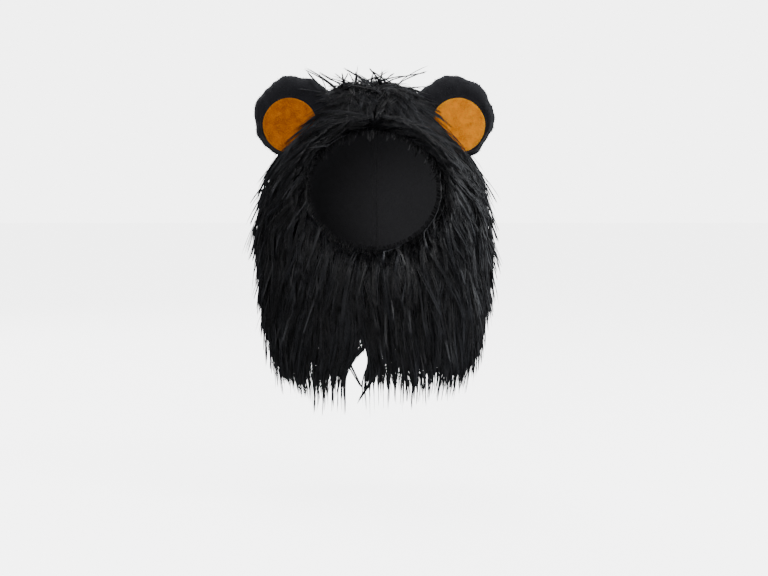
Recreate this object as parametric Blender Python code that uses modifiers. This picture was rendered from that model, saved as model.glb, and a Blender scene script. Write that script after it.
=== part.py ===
"""A pet wig shaped as a lion's mane: a soft hood, deep fur over it and two padded ears.

The hood is a cloth shell with a face hole in front, a neck hole below and a band
under the throat. The fur is one bell of locks that covers the hood and hangs below
it. The face hole looks along -Y, the wig's own left is +X, and the origin is the
highest point of the hood's lining.

All shapes are first drawn about the throat axis, which runs along X through the
bend of the throat band, with Y going back from the face hole and Z going up.
"""
import math
from collections import namedtuple

import bmesh
import bpy
from mathutils import Matrix, Vector

# Sizes of the head and neck that the hood is cut for
FACE_WIDTH = 0.100
FACE_HEIGHT = 0.090
HEAD_WIDTH = 0.110
HEAD_HEIGHT = 0.110
HEAD_DEPTH = 0.088
NECK_WIDTH = 0.088
NECK_DEPTH = 0.062
THROAT_RADIUS = 0.012
HEAD_SQUARENESS = 2.8

# Cloth, seams and the clearance between pieces that touch
HOOD_WALL = 0.0025
GAP = 0.0003

# How deep the fur stands on the hood, and how far it hangs below the throat
FUR_SIDE = 0.0240
FUR_FRONT = 0.0225
FUR_BACK = 0.0190
FUR_TOP = 0.0215
BIB_LENGTH = 0.0935
CAPE_WALL = 0.0150
FUR_LAP = 0.0025
FUR_FLARE = 0.0050
MANE_SQUARENESS = 2.3

# The locks of fur, and the line on the wig's right where they part
LOCK_WIDTH = 0.0215
LOCK_THICKNESS = 0.0085
RIM_LOCK_LENGTH = 0.056
PARTING_OFFSET = -0.0110

# The ears and the felt discs in them
PATCH_RADIUS = 0.0196
PATCH_THICKNESS = 0.0015
EAR_RIM = 0.0104
EAR_THICKNESS = 0.0140
DISH_DEPTH = 0.0030
EAR_SINK = 0.0088
EAR_TURN = 11.0
EAR_SEAT = 46.0
EAR_LEAN = 48.0
EAR_YAW = 6.0

# The tab that closes the throat band
TAB_WIDTH = 0.024
TAB_LENGTH = 0.011
TAB_THICKNESS = 0.0015

# Steps round each kind of section
HOOD_STEPS = 28
MANE_STEPS = 32
EAR_STEPS = 35
LOCK_STEPS = 5

# Hood sections: degrees turned back from the face plane about the throat axis, and
# how far the section has swollen from the straight line between the two rims (0) to
# the full head (1)
HoodRow = namedtuple("HoodRow", "turn swell")
HOOD_ROWS = [
    HoodRow(0, 0.00),
    HoodRow(5, 0.50),
    HoodRow(11, 0.86),
    HoodRow(21, 1.00),
    HoodRow(36, 1.00),
    HoodRow(51, 1.00),
    HoodRow(66, 0.95),
    HoodRow(78, 0.70),
    HoodRow(90, 0.30),
    HoodRow(100, 0.00),
]
NECK_TURN = HOOD_ROWS[-1].turn

# Outline of the fur: level 0 is its top, 1 the throat axis and 2 the lowest tips.
# The widths, fronts and backs are shares of its half width, front and back at level 1
ManeRow = namedtuple("ManeRow", "level width front back")
MANE_ROWS = [
    ManeRow(0.00, 0.16, -0.30, 0.34),
    ManeRow(0.03, 0.30, 0.05, 0.48),
    ManeRow(0.11, 0.43, 0.34, 0.63),
    ManeRow(0.22, 0.59, 0.56, 0.76),
    ManeRow(0.37, 0.80, 0.74, 0.87),
    ManeRow(0.56, 0.94, 0.87, 0.94),
    ManeRow(0.78, 1.00, 0.95, 0.99),
    ManeRow(1.00, 1.00, 1.00, 1.00),
    ManeRow(1.30, 0.96, 1.05, 0.98),
    ManeRow(1.60, 0.89, 1.02, 0.94),
    ManeRow(2.00, 0.74, 0.90, 0.88),
]
CORE_LEVELS = [0.0, 0.03, 0.11, 0.22, 0.37, 0.56, 0.78, 1.0, 1.3, 1.58]
CAPE_LEVELS = [2.3, 1.6, 1.22]

# Past this share of the half width, the front of the fur counts as its side
FRONT_SHARE = 0.97

# Rows of locks from the hem up: how many stand round the fur, how far the first lies
# from the middle of the front in shares of the space between two, the levels of root
# and tip, and each lock's width as a share of LOCK_WIDTH
Tier = namedtuple("Tier", "count start root tip width")
TIERS = [
    Tier(25, 0.15, 1.34, 1.94, 1.05),
    Tier(17, 0.62, 0.98, 1.74, 1.10),
    Tier(15, 0.10, 0.64, 1.34, 1.15),
    Tier(13, 0.55, 0.32, 0.98, 1.15),
    Tier(9, 0.50, 0.04, 0.62, 1.00),
]

# Degrees that a lock sways from the parting, how unevenly long the locks are in
# levels, and how far they stray from even spacing in shares of the space
LOCK_SWAY = 5.0
LOCK_UNEVEN = 0.13
LOCK_STRAY = 0.20

# Locks round the face: degrees from the top of the face hole to the root, and the
# way that the root sets off, as shares of away from the face, round it and down
RimLock = namedtuple("RimLock", "place away round down")
RIM_LOCKS = [
    RimLock(8, 0.75, 1.00, 0.00),
    RimLock(32, 0.60, 0.90, 0.00),
    RimLock(56, 0.60, 0.70, 0.15),
    RimLock(82, 0.60, 0.40, 0.40),
    RimLock(110, 0.45, 0.10, 0.70),
    RimLock(138, 0.30, 0.00, 0.90),
    RimLock(165, 0.08, 0.00, 1.00),
]

# How far outside the face hole these locks root and how high they lie, in shares of
# a lock's width and thickness; how unevenly long they are; the shares of their length
# before and after they bend; and which way they then fall, as seen from the front
RIM_ROOT = 0.30
RIM_LIFT = 0.25
RIM_UNEVEN = 0.25
RIM_LEAD = 0.50
RIM_DROP = 0.60
RIM_SPREAD = 0.16
RIM_FALL = -0.90

# A lock from root to tip: its place along the way, how high it lies on the fur's
# base in shares of its thickness, its width and its thickness. Its underside reaches
# LOCK_UNDERSIDE times as deep as its ridge stands high
LockRow = namedtuple("LockRow", "along lift width thickness")
LOCK_ROWS = [
    LockRow(0.00, -0.75, 0.60, 0.70),
    LockRow(0.24, -0.20, 1.00, 1.00),
    LockRow(0.52, 0.10, 0.96, 0.95),
    LockRow(0.78, 0.28, 0.64, 0.66),
    LockRow(1.00, 0.32, 0.06, 0.12),
]
LOCK_UNDERSIDE = 2.4

# Sections of an ear from the middle of its back to its rolled front edge: share of
# the radius, and depth in shares of half the thickness, forward being less than 0
EarRow = namedtuple("EarRow", "radius depth")
EAR_ROWS = [
    EarRow(0.50, 0.95),
    EarRow(0.80, 0.78),
    EarRow(0.95, 0.42),
    EarRow(1.00, 0.00),
    EarRow(0.96, -0.52),
]

# Where the rolled edge is highest between the seat and the rim, how deep and how many
# the gathers of the rim are, and how far out and down from the ear's middle the felt
# disc lies, in shares of the rim
EAR_CREST = 0.50
EAR_LOBE = 0.018
EAR_LOBES = 7
EAR_LOBE_PHASE = 0.6
SEAT_LIP = 0.25
PATCH_OUT = 0.31
PATCH_DOWN = 0.52


def clear_scene():
    """Take away what a new Blender file holds."""
    for thing in list(bpy.data.objects):
        bpy.data.objects.remove(thing, do_unlink=True)


def make_collection(name):
    """A collection under the scene's own."""
    collection = bpy.data.collections.new(name)
    bpy.context.scene.collection.children.link(collection)
    return collection


def mix(start, end, share):
    """The value that lies a share of the way from start to end."""
    return start + (end - start) * share


def wobble(number):
    """A steady value from -0.5 to 0.5 that differs from one lock to the next."""
    return (number * 0.618034) % 1.0 - 0.5


def material(name, colour, roughness, metallic=0.0):
    """A plain Principled material."""
    finish = bpy.data.materials.new(name)
    finish.use_nodes = True
    shader = finish.node_tree.nodes["Principled BSDF"]
    shader.inputs["Base Color"].default_value = (*colour, 1.0)
    shader.inputs["Roughness"].default_value = roughness
    shader.inputs["Metallic"].default_value = metallic
    return finish


def make_object(name, mesh, collection, parent, finish=None):
    """An object in the throat axis's frame."""
    thing = bpy.data.objects.new(name, mesh)
    collection.objects.link(thing)
    thing.parent = parent
    if finish:
        mesh.materials.append(finish)
    return thing


def as_guide(thing):
    """Mark a cutter or a lock that only shapes other pieces."""
    thing.hide_render = True
    thing.display_type = 'WIRE'
    return thing


def loft(name, rings, ring_round=False):
    """A closed skin through rings of equal count; it is a tube joined end to end
    when ring_round is set, and has a flat cap at each end when it isn't. Each patch
    is two triangles split the same way, so skins that follow each other keep clear."""
    shape = bmesh.new()
    loops = [[shape.verts.new(point) for point in ring] for ring in rings]
    count = len(loops[0])
    pairs = list(zip(loops, loops[1:]))
    if ring_round:
        pairs.append((loops[-1], loops[0]))
    else:
        shape.faces.new(loops[0])
        shape.faces.new(loops[-1])
    for first, second in pairs:
        for step in range(count):
            after = (step + 1) % count
            shape.faces.new((first[step], first[after], second[after]))
            shape.faces.new((first[step], second[after], second[step]))
    bmesh.ops.recalc_face_normals(shape, faces=shape.faces)
    mesh = bpy.data.meshes.new(name)
    shape.to_mesh(mesh)
    shape.free()
    return mesh


def boolean(target, operation, name, other):
    """Join or cut with one object, or with each object of a collection."""
    change = target.modifiers.new(name, 'BOOLEAN')
    change.operation = operation
    change.solver = 'EXACT'
    if isinstance(other, bpy.types.Collection):
        change.operand_type = 'COLLECTION'
        change.collection = other
    else:
        change.object = other


def smooth(mesh, angle):
    """Shade the faces smooth up to an angle in degrees."""
    mesh.shade_smooth()
    mesh.set_sharp_from_angle(angle=math.radians(angle))


def head_reach(turn):
    """From the throat axis to the outline of the head, at an angle back from up."""
    up = abs(math.cos(turn)) / HEAD_HEIGHT
    back = abs(math.sin(turn)) / HEAD_DEPTH
    total = up ** HEAD_SQUARENESS + back ** HEAD_SQUARENESS
    return total ** (-1.0 / HEAD_SQUARENESS)


def hood_point(turn_degrees, swell, place, grow):
    """A point of the hood's lining, moved out by grow; place is the angle round
    the section from its far side, and the throat band is at half a turn."""
    turn = math.radians(turn_degrees)
    share = turn_degrees / NECK_TURN
    rim_reach = THROAT_RADIUS + mix(FACE_HEIGHT, NECK_DEPTH, share)
    rim_width = mix(FACE_WIDTH, NECK_WIDTH, share)
    far = mix(rim_reach, head_reach(turn), swell) + grow
    near = THROAT_RADIUS - grow
    half_width = mix(rim_width, HEAD_WIDTH, swell) / 2 + grow
    reach = (far + near) / 2 + (far - near) / 2 * math.cos(place)
    side = half_width * math.sin(place)
    return Vector((side, reach * math.sin(turn), reach * math.cos(turn)))


def hood_swell(turn_degrees):
    """The swell at any turn, read between the rows."""
    for row, after in zip(HOOD_ROWS, HOOD_ROWS[1:]):
        if turn_degrees <= after.turn:
            share = (turn_degrees - row.turn) / (after.turn - row.turn)
            return mix(row.swell, after.swell, share)
    return HOOD_ROWS[-1].swell


def hood_ring(row, grow):
    """One whole section of the hood."""
    step = 2 * math.pi / HOOD_STEPS
    return [hood_point(row.turn, row.swell, step * n, grow) for n in range(HOOD_STEPS)]


def lining_points():
    """All points of the hood's lining."""
    return [point for row in HOOD_ROWS for point in hood_ring(row, 0.0)]


CROWN = max(lining_points(), key=lambda point: point.z)
HOOD_BACK = max(point.y for point in lining_points()) + HOOD_WALL
MANE_TOP = CROWN.z + HOOD_WALL + FUR_TOP
MANE_HALF_WIDTH = HEAD_WIDTH / 2 + HOOD_WALL + FUR_SIDE
MANE_BACK = HOOD_BACK + FUR_BACK


def mane_height(level):
    """Height of a level of the fur above the throat axis."""
    return MANE_TOP * (1 - level) if level < 1 else BIB_LENGTH * (1 - level)


def mane_level(height):
    """The level of the fur at a height above the throat axis."""
    return 1 - height / MANE_TOP if height > 0 else 1 - height / BIB_LENGTH


def mane_row(level):
    """Shares of the fur's outline at any level, smoothly between the rows."""
    last = len(MANE_ROWS) - 1
    first = 0
    while first < last - 1 and level > MANE_ROWS[first + 1].level:
        first += 1
    rows = [MANE_ROWS[min(max(first + n, 0), last)] for n in (-1, 0, 1, 2)]
    before, start, end, after = rows
    span = end.level - start.level
    share = (level - start.level) / span
    values = []
    for column in ("width", "front", "back"):
        low, here, there, high = (getattr(row, column) for row in rows)
        slope_in = (there - low) / (end.level - before.level) * span
        slope_out = (high - here) / (after.level - start.level) * span
        cube, square = share ** 3, share ** 2
        values.append((2 * cube - 3 * square + 1) * here
                      + (cube - 2 * square + share) * slope_in
                      + (3 * square - 2 * cube) * there
                      + (cube - square) * slope_out)
    return ManeRow(level, *values)


def mane_section(level, inset=0.0):
    """Half width, middle depth and half depth of the fur at a level."""
    row = mane_row(level)
    front = -FUR_FRONT * row.front + inset
    back = MANE_BACK * row.back - inset
    return MANE_HALF_WIDTH * row.width - inset, (front + back) / 2, (back - front) / 2


def mane_point(azimuth, level, inset=0.0):
    """A point of the fur's base; azimuth is in degrees from the front to the left."""
    half_width, middle, half_depth = mane_section(level, inset)
    power = 2.0 / MANE_SQUARENESS
    side = math.sin(math.radians(azimuth))
    ahead = math.cos(math.radians(azimuth))
    x = half_width * math.copysign(abs(side) ** power, side)
    y = middle - half_depth * math.copysign(abs(ahead) ** power, ahead)
    return Vector((x, y, mane_height(level)))


def front_point(x, z):
    """The point of the fur's front that a straight look from the front meets."""
    half_width, middle, half_depth = mane_section(mane_level(z))
    share = min(abs(x) / half_width, FRONT_SHARE)
    ahead = (1 - share ** MANE_SQUARENESS) ** (1 / MANE_SQUARENESS)
    return Vector((math.copysign(share * half_width, x), middle - half_depth * ahead, z))


def mane_out(azimuth, level):
    """The way straight out of the fur's base."""
    turn, drop = 2.0, 0.02
    across = mane_point(azimuth + turn, level) - mane_point(azimuth - turn, level)
    above = mane_point(azimuth, max(level - drop, 0))
    down = mane_point(azimuth, level + drop) - above
    return down.cross(across).normalized()


def front_out(x, z):
    """The way straight out of the fur's front at a place seen from the front."""
    reach = LOCK_WIDTH / 10
    across = front_point(x + reach, z) - front_point(x - reach, z)
    rise = front_point(x, z + reach) - front_point(x, z - reach)
    return across.cross(rise).normalized()


def lock_mesh(name, places, width, thickness, raised=0.0):
    """A flat tapered lock with a ridge along it, through five places, each a point
    and the way out of the fur there."""
    rings = []
    for number, (row, (point, out)) in enumerate(zip(LOCK_ROWS, places)):
        ahead = places[min(number + 1, 4)][0] - places[max(number - 1, 0)][0]
        across = ahead.cross(out).normalized()
        rise = across.cross(ahead).normalized()
        middle = point + rise * ((row.lift + raised) * thickness)
        ring = []
        for step in range(LOCK_STEPS):
            angle = 2 * math.pi * (step / LOCK_STEPS + 0.25)
            height = math.sin(angle) * row.thickness * thickness / 2
            if height < 0:
                height *= LOCK_UNDERSIDE
            ring.append(middle + across * (math.cos(angle) * row.width * width / 2)
                        + rise * height)
        rings.append(ring)
    return loft(name, rings)


def over_face(point, margin):
    """Whether a point in front of the hood lies over the face hole."""
    if point.y > THROAT_RADIUS:
        return False
    across = point.x / (FACE_WIDTH / 2 + margin)
    height = point.z - THROAT_RADIUS - FACE_HEIGHT / 2
    return across ** 2 + (height / (FACE_HEIGHT / 2 + margin)) ** 2 < 1


def tier_locks(collection, parent):
    """Rows of locks round the fur, each row lapping the one below it."""
    number = 0
    for tier in TIERS:
        for place in range(tier.count):
            number += 1
            space = 360.0 / tier.count
            azimuth = space * (place + tier.start + LOCK_STRAY * wobble(number))
            from_parting = mane_point(azimuth, tier.root).x - PARTING_OFFSET
            ahead = math.cos(math.radians(azimuth))
            sway = math.copysign(LOCK_SWAY, from_parting * ahead)
            tip = tier.tip + LOCK_UNEVEN * wobble(number * 3)
            places = []
            for row in LOCK_ROWS:
                level = mix(tier.root, tip, row.along)
                turned = azimuth + sway * row.along
                places.append((mane_point(turned, level), mane_out(turned, level)))
            if any(over_face(point, LOCK_WIDTH / 2) for point, out in places[:4]):
                continue
            mesh = lock_mesh("fur_lock", places, LOCK_WIDTH * tier.width, LOCK_THICKNESS)
            as_guide(make_object(f"fur_lock_{number:03d}", mesh, collection, parent))


def rim_locks(collection, parent):
    """Locks that set off from the edge of the face hole and then fall."""
    middle = THROAT_RADIUS + FACE_HEIGHT / 2
    for number, row in enumerate(RIM_LOCKS):
        for side in (-1, 1):
            angle = math.radians(row.place)
            away = Vector((side * math.sin(angle), math.cos(angle)))
            round_ = Vector((side * math.cos(angle), -math.sin(angle)))
            stand = LOCK_WIDTH * RIM_ROOT
            root = Vector((away.x * (FACE_WIDTH / 2 + stand),
                           middle + away.y * (FACE_HEIGHT / 2 + stand)))
            lead = away * row.away + round_ * row.round + Vector((0, -row.down))
            length = RIM_LOCK_LENGTH * (1 + RIM_UNEVEN * wobble(number * 2 + side))
            bend = root + lead.normalized() * length * RIM_LEAD
            fall = Vector((side * RIM_SPREAD * (1 - row.down), RIM_FALL))
            tip = bend + fall * length * RIM_DROP
            places = []
            for lock_row in LOCK_ROWS:
                share = lock_row.along
                flat = root.lerp(bend, share).lerp(bend.lerp(tip, share), share)
                places.append((front_point(*flat), front_out(*flat)))
            mesh = lock_mesh("rim_lock", places, LOCK_WIDTH, LOCK_THICKNESS, RIM_LIFT)
            side_name = "left" if side > 0 else "right"
            name = f"rim_lock_{number:02d}_{side_name}"
            as_guide(make_object(name, mesh, collection, parent))


def hood_mesh():
    """The cloth shell: up its lining from the face hole and back down its outside."""
    lining = [hood_ring(row, 0.0) for row in HOOD_ROWS]
    outside = [hood_ring(row, HOOD_WALL) for row in reversed(HOOD_ROWS)]
    return loft("hood", lining + outside, ring_round=True)


def face_ring(depth, grow):
    """An oval round the face hole in a plane in front of the hood."""
    middle = THROAT_RADIUS + FACE_HEIGHT / 2
    ring = []
    for step in range(HOOD_STEPS):
        place = 2 * math.pi * step / HOOD_STEPS
        ring.append(Vector((math.sin(place) * (FACE_WIDTH / 2 + grow), depth,
                            middle + math.cos(place) * (FACE_HEIGHT / 2 + grow))))
    return ring


def cape_ring(level):
    """The inside of the fur below the neck, wound as the hood's sections are."""
    ring = []
    for step in range(HOOD_STEPS):
        azimuth = 180.0 - 360.0 * step / HOOD_STEPS
        ring.append(mane_point(azimuth, level, CAPE_WALL))
    return ring


def inside_form_mesh():
    """What the fur leaves free: the way to the face, the hood and the space below."""
    grow = HOOD_WALL + GAP
    ahead = -2 * FUR_FRONT
    rings = [cape_ring(level) for level in CAPE_LEVELS]
    rings += [hood_ring(row, grow) for row in reversed(HOOD_ROWS)]
    rings += [face_ring(-GAP, grow), face_ring(-GAP, -FUR_LAP)]
    rings.append(face_ring(ahead, 2 * FUR_FLARE - FUR_LAP))
    return loft("inside_form", rings)


def mane_mesh():
    """The body of the fur, without its locks."""
    rings = []
    for level in CORE_LEVELS:
        turn = 360.0 / MANE_STEPS
        rings.append([mane_point(turn * step, level) for step in range(MANE_STEPS)])
    return loft("mane", rings)


def ear_frame(side):
    """Where an ear's middle lies and how it is turned; side is 1 for the left."""
    swell = hood_swell(EAR_TURN)
    seam = hood_point(EAR_TURN, swell, side * math.radians(EAR_SEAT), HOOD_WALL)
    lean = math.radians(EAR_LEAN)
    away = Vector((side * math.sin(lean), 0, math.cos(lean)))
    middle = seam + away * (PATCH_RADIUS + EAR_RIM - EAR_SINK)
    turned = Matrix.Rotation(side * math.radians(EAR_YAW), 4, 'Z')
    return Matrix.Translation(middle) @ turned


def ear_outline(side, step, radius, depth):
    """A point of the ear's gathered outline."""
    angle = 2 * math.pi * step / EAR_STEPS
    lobe = math.cos(EAR_LOBES * angle + EAR_LOBE_PHASE * side)
    lobed = radius * (1 + EAR_LOBE * lobe)
    return Vector((math.cos(angle) * lobed, depth, math.sin(angle) * lobed))


def patch_middle(side):
    """The middle of the felt disc beside the middle of the ear."""
    return Vector((side * PATCH_OUT * EAR_RIM, 0, -PATCH_DOWN * EAR_RIM))


def seat_ring(side, depth):
    """The round edge of the seat that holds the felt disc."""
    ring = []
    for step in range(EAR_STEPS):
        angle = 2 * math.pi * step / EAR_STEPS
        reach = PATCH_RADIUS + GAP
        flat = Vector((math.cos(angle) * reach, depth, math.sin(angle) * reach))
        ring.append(flat + patch_middle(side))
    return ring


def ear_mesh(side, grow=0.0, dished=True):
    """A padded ear: its back, its rolled edge and, in front, the felt disc's seat."""
    radius = PATCH_RADIUS + EAR_RIM + grow
    half = EAR_THICKNESS / 2 + grow
    rings = []
    for row in EAR_ROWS:
        rings.append([ear_outline(side, step, radius * row.radius, half * row.depth)
                      for step in range(EAR_STEPS)])
    edge = [ear_outline(side, step, radius, -half) for step in range(EAR_STEPS)]
    seat = seat_ring(side, -half)
    rings.append([lip.lerp(rim, EAR_CREST) for lip, rim in zip(seat, edge)])
    if dished:
        rings.append(seat_ring(side, -half + SEAT_LIP * DISH_DEPTH))
        rings.append(seat_ring(side, -half + DISH_DEPTH))
    return loft("ear", rings)


def patch_object(side, name, collection, parent, finish):
    """A felt disc on the floor of its seat."""
    bpy.ops.mesh.primitive_cylinder_add(vertices=EAR_STEPS, radius=PATCH_RADIUS,
                                        depth=PATCH_THICKNESS)
    disc = bpy.context.active_object
    mesh = disc.data
    floor = -EAR_THICKNESS / 2 + DISH_DEPTH
    middle = patch_middle(side) + Vector((0, floor - GAP - PATCH_THICKNESS / 2, 0))
    lay = Matrix.Translation(middle) @ Matrix.Rotation(math.radians(90), 4, 'X')
    mesh.transform(ear_frame(side) @ lay)
    bpy.data.objects.remove(disc, do_unlink=True)
    patch = make_object(name, mesh, collection, parent, finish)
    edge = patch.modifiers.new("cut_edge", 'BEVEL')
    edge.width = PATCH_THICKNESS / 4
    edge.segments = 1
    edge.limit_method = 'ANGLE'
    return patch


def tab_object(collection, parent, finish):
    """A tab on the lining of the throat band, which closes it."""
    patch_depth = HEAD_HEIGHT / 2 * (1 - math.cos(math.pi / HOOD_STEPS))
    off_lining = GAP + patch_depth
    half_turn = math.degrees(TAB_LENGTH / (THROAT_RADIUS + off_lining)) / 2
    middle_turn = NECK_TURN / 2
    half_place = TAB_WIDTH / HEAD_WIDTH
    steps = 4
    shape = bmesh.new()
    bmesh.ops.create_grid(shape, x_segments=steps, y_segments=steps, size=1.0)
    for vertex in shape.verts:
        turn = middle_turn + half_turn * vertex.co.y
        place = math.pi + half_place * vertex.co.x
        vertex.co = hood_point(turn, hood_swell(turn), place, -off_lining)
    mesh = bpy.data.meshes.new("chin_tab")
    shape.to_mesh(mesh)
    shape.free()
    tab = make_object("chin_tab", mesh, collection, parent, finish)
    wall = tab.modifiers.new("thickness", 'SOLIDIFY')
    wall.thickness = TAB_THICKNESS
    wall.offset = -1.0
    return tab


def build():
    """Make the wig."""
    clear_scene()
    pieces = make_collection("pet_wig")
    guides = make_collection("guides")
    locks = make_collection("fur_locks")

    axis = bpy.data.objects.new("throat_axis", None)
    pieces.objects.link(axis)
    axis.location = (0, -CROWN.y, -CROWN.z)

    cloth = material("hood_cloth", (0.012, 0.012, 0.014), 0.90)
    fur = material("black_fur", (0.010, 0.010, 0.012), 0.55)
    fleece = material("ear_fleece", (0.010, 0.010, 0.011), 0.95)
    felt = material("orange_felt", (0.52, 0.17, 0.03), 0.90)
    tape = material("tab_tape", (0.018, 0.018, 0.020), 0.80)

    hood = make_object("hood", hood_mesh(), pieces, axis, cloth)
    smooth(hood.data, 50)
    inside = as_guide(make_object("inside_form", inside_form_mesh(), guides, axis))

    mane = make_object("mane", mane_mesh(), pieces, axis, fur)
    tier_locks(locks, axis)
    rim_locks(locks, axis)
    boolean(mane, 'UNION', "locks", locks)
    boolean(mane, 'DIFFERENCE', "hollow", inside)

    for side, word in ((1, "left"), (-1, "right")):
        ear = make_object(f"ear_{word}", ear_mesh(side), pieces, axis, fleece)
        ear.data.transform(ear_frame(side))
        smooth(ear.data, 60)
        boolean(ear, 'DIFFERENCE', "seam_on_hood", inside)
        room = make_object(f"ear_room_{word}", ear_mesh(side, GAP, False), guides, axis)
        room.data.transform(ear_frame(side))
        boolean(mane, 'DIFFERENCE', f"room_for_ear_{word}", as_guide(room))
        patch_object(side, f"ear_{word}_patch", pieces, axis, felt)

    tab_object(pieces, axis, tape)


build()
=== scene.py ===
# %% [markdown]
# # A lion mane wig for a pet
# The wig is a soft hood with deep black fur over it and two round ears of black
# fleece, each with a disc of orange felt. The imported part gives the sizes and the
# places. This file dresses it: every piece that shows gets its real surface. The fur
# could be grown as hair curves, but plain meshes of thin tubes keep their shape in
# every program, so it is made of those.

# %% Start
import math

import bmesh
import bpy
import numpy as np
from mathutils import Matrix, Vector


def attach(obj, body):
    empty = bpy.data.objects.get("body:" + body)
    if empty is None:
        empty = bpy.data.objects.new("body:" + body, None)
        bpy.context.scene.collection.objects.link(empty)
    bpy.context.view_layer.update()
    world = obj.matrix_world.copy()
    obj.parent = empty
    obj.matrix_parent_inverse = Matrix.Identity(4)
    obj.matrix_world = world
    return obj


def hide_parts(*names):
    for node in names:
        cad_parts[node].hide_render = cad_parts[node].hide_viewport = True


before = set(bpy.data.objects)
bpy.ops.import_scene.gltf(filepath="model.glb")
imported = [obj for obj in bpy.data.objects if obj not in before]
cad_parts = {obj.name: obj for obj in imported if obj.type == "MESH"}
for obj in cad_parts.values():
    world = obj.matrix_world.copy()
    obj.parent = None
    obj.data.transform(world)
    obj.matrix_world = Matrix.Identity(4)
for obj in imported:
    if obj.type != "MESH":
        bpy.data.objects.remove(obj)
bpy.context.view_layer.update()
print("nodes:", ", ".join(sorted(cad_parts)))

# %% [markdown]
# ## Sizes taken over from the part
# A script that dresses a part can't read its source, so the named sizes are repeated
# here. Shapes are drawn about the throat axis, as in the part, and then moved so that
# the origin is the crown of the head.

# %% Sizes in metres
FACE_WIDTH, FACE_HEIGHT = 0.100, 0.090
HEAD_WIDTH, HEAD_HEIGHT, HEAD_DEPTH = 0.110, 0.110, 0.088
NECK_WIDTH, NECK_DEPTH = 0.088, 0.062
THROAT_RADIUS = 0.012
HEAD_SQUARENESS = 2.8
NECK_TURN = 100
HOOD_WALL = 0.0025
GAP = 0.0003
FUR_FRONT = 0.0225
BIB_LENGTH = 0.0935
MANE_TOP = 0.13156
MANE_HALF_WIDTH = 0.0815
MANE_BACK = 0.1073
MANE_SQUARENESS = 2.3
PATCH_RADIUS = 0.0196
PATCH_THICKNESS = 0.0015
EAR_RIM = 0.0104
EAR_THICKNESS = 0.0140
DISH_DEPTH = 0.0030
EAR_SINK = 0.0088
EAR_TURN, EAR_SEAT, EAR_LEAN, EAR_YAW = 11.0, 46.0, 48.0, 6.0
CROWN = np.array((0.0, 0.0209, 0.1076))

# Degrees that each hood section is turned back, and how far it has swollen
HOOD_TURNS = (0, 5, 11, 21, 36, 51, 66, 78, 90, 100)
HOOD_SWELLS = (0, 0.50, 0.86, 1, 1, 1, 0.95, 0.70, 0.30, 0)

# The outline of the fur: level 0 is its top, 1 the throat and 2 the lowest tips
MANE_LEVELS = (-0.02, 0.00, 0.03, 0.11, 0.22, 0.37, 0.56, 0.78, 1.0, 1.3, 1.6, 2.0)
MANE_WIDTHS = (0.02, 0.16, 0.30, 0.43, 0.59, 0.80, 0.94, 1.0, 1.0, 0.96, 0.89, 0.74)
MANE_FRONTS = (-0.90, -0.30, 0.05, 0.34, 0.56, 0.74, 0.87, 0.95, 1.0, 1.05, 1.02, 0.90)
MANE_BACKS = (0.215, 0.34, 0.48, 0.63, 0.76, 0.87, 0.94, 0.99, 1.0, 0.98, 0.94, 0.88)

FACE_MIDDLE = THROAT_RADIUS + FACE_HEIGHT / 2
HOOD_STEPS = 56
print("fur:", 2 * MANE_HALF_WIDTH, "m wide at the throat")

# %% [markdown]
# ## Camera and light
# The photograph was taken almost level with the wig from straight ahead. A long lens
# keeps the ears and the hem from spreading. The light is soft and comes mostly from
# the top right, where it draws grey streaks on the fur.

# %% Camera
LENS = 85
CAMERA_DISTANCE = 1.306
CAMERA_ELEVATION = math.radians(4)
NEAREST_SEEN = 0.01
LOOK_AT = Vector((0.0072, -0.010, -0.121))

bpy.ops.object.select_all(action='DESELECT')
back_off = Vector((0, -math.cos(CAMERA_ELEVATION), math.sin(CAMERA_ELEVATION)))
bpy.ops.object.camera_add(location=LOOK_AT + back_off * CAMERA_DISTANCE)
camera = bpy.context.object
camera.name = "camera"
camera.rotation_euler = back_off.to_track_quat('Z', 'Y').to_euler()
camera.data.lens = LENS
camera.data.clip_start = NEAREST_SEEN
bpy.context.scene.camera = camera
print("camera at", [round(value, 3) for value in camera.location])

# %% Lights
LIGHTS_FACE = Vector((0, 0, -0.08))
SKY_COLOUR, SKY_STRENGTH = (0.97, 0.98, 1.0, 1), 0.42


def soft_light(name, place, size, power, colour=(1, 1, 1)):
    """A square light of a given size that faces the wig."""
    bpy.ops.object.light_add(type='AREA', location=place)
    light = bpy.context.object
    light.name = name
    light.data.size = size
    light.data.energy = power
    light.data.color = colour
    away = Vector(place) - LIGHTS_FACE
    light.rotation_euler = away.to_track_quat('Z', 'Y').to_euler()


soft_light("key_light", (0.95, -0.75, 0.85), 0.55, 16.5)
soft_light("side_light", (1.15, 0.25, 0.25), 0.55, 7.5, (0.92, 0.96, 1.0))
soft_light("top_light", (-0.15, 0.20, 1.25), 0.60, 11)
soft_light("fill_light", (-0.45, -1.5, 0.25), 0.70, 9)
soft_light("back_light", (-0.75, 1.25, 0.60), 0.70, 11)

world = bpy.data.worlds.new("studio")
bpy.context.scene.world = world
world.use_nodes = True
backing = world.node_tree.nodes["Background"]
backing.inputs["Color"].default_value = SKY_COLOUR
backing.inputs["Strength"].default_value = SKY_STRENGTH

# %% [markdown]
# ## Writing a finish
# A finish is a material whose nodes are written as sums. The class below wraps a
# socket, so that `0.3 + 0.2 * spots` adds the Math nodes by itself. Colours go
# through Mix nodes, because a Math node would turn them grey.

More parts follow.
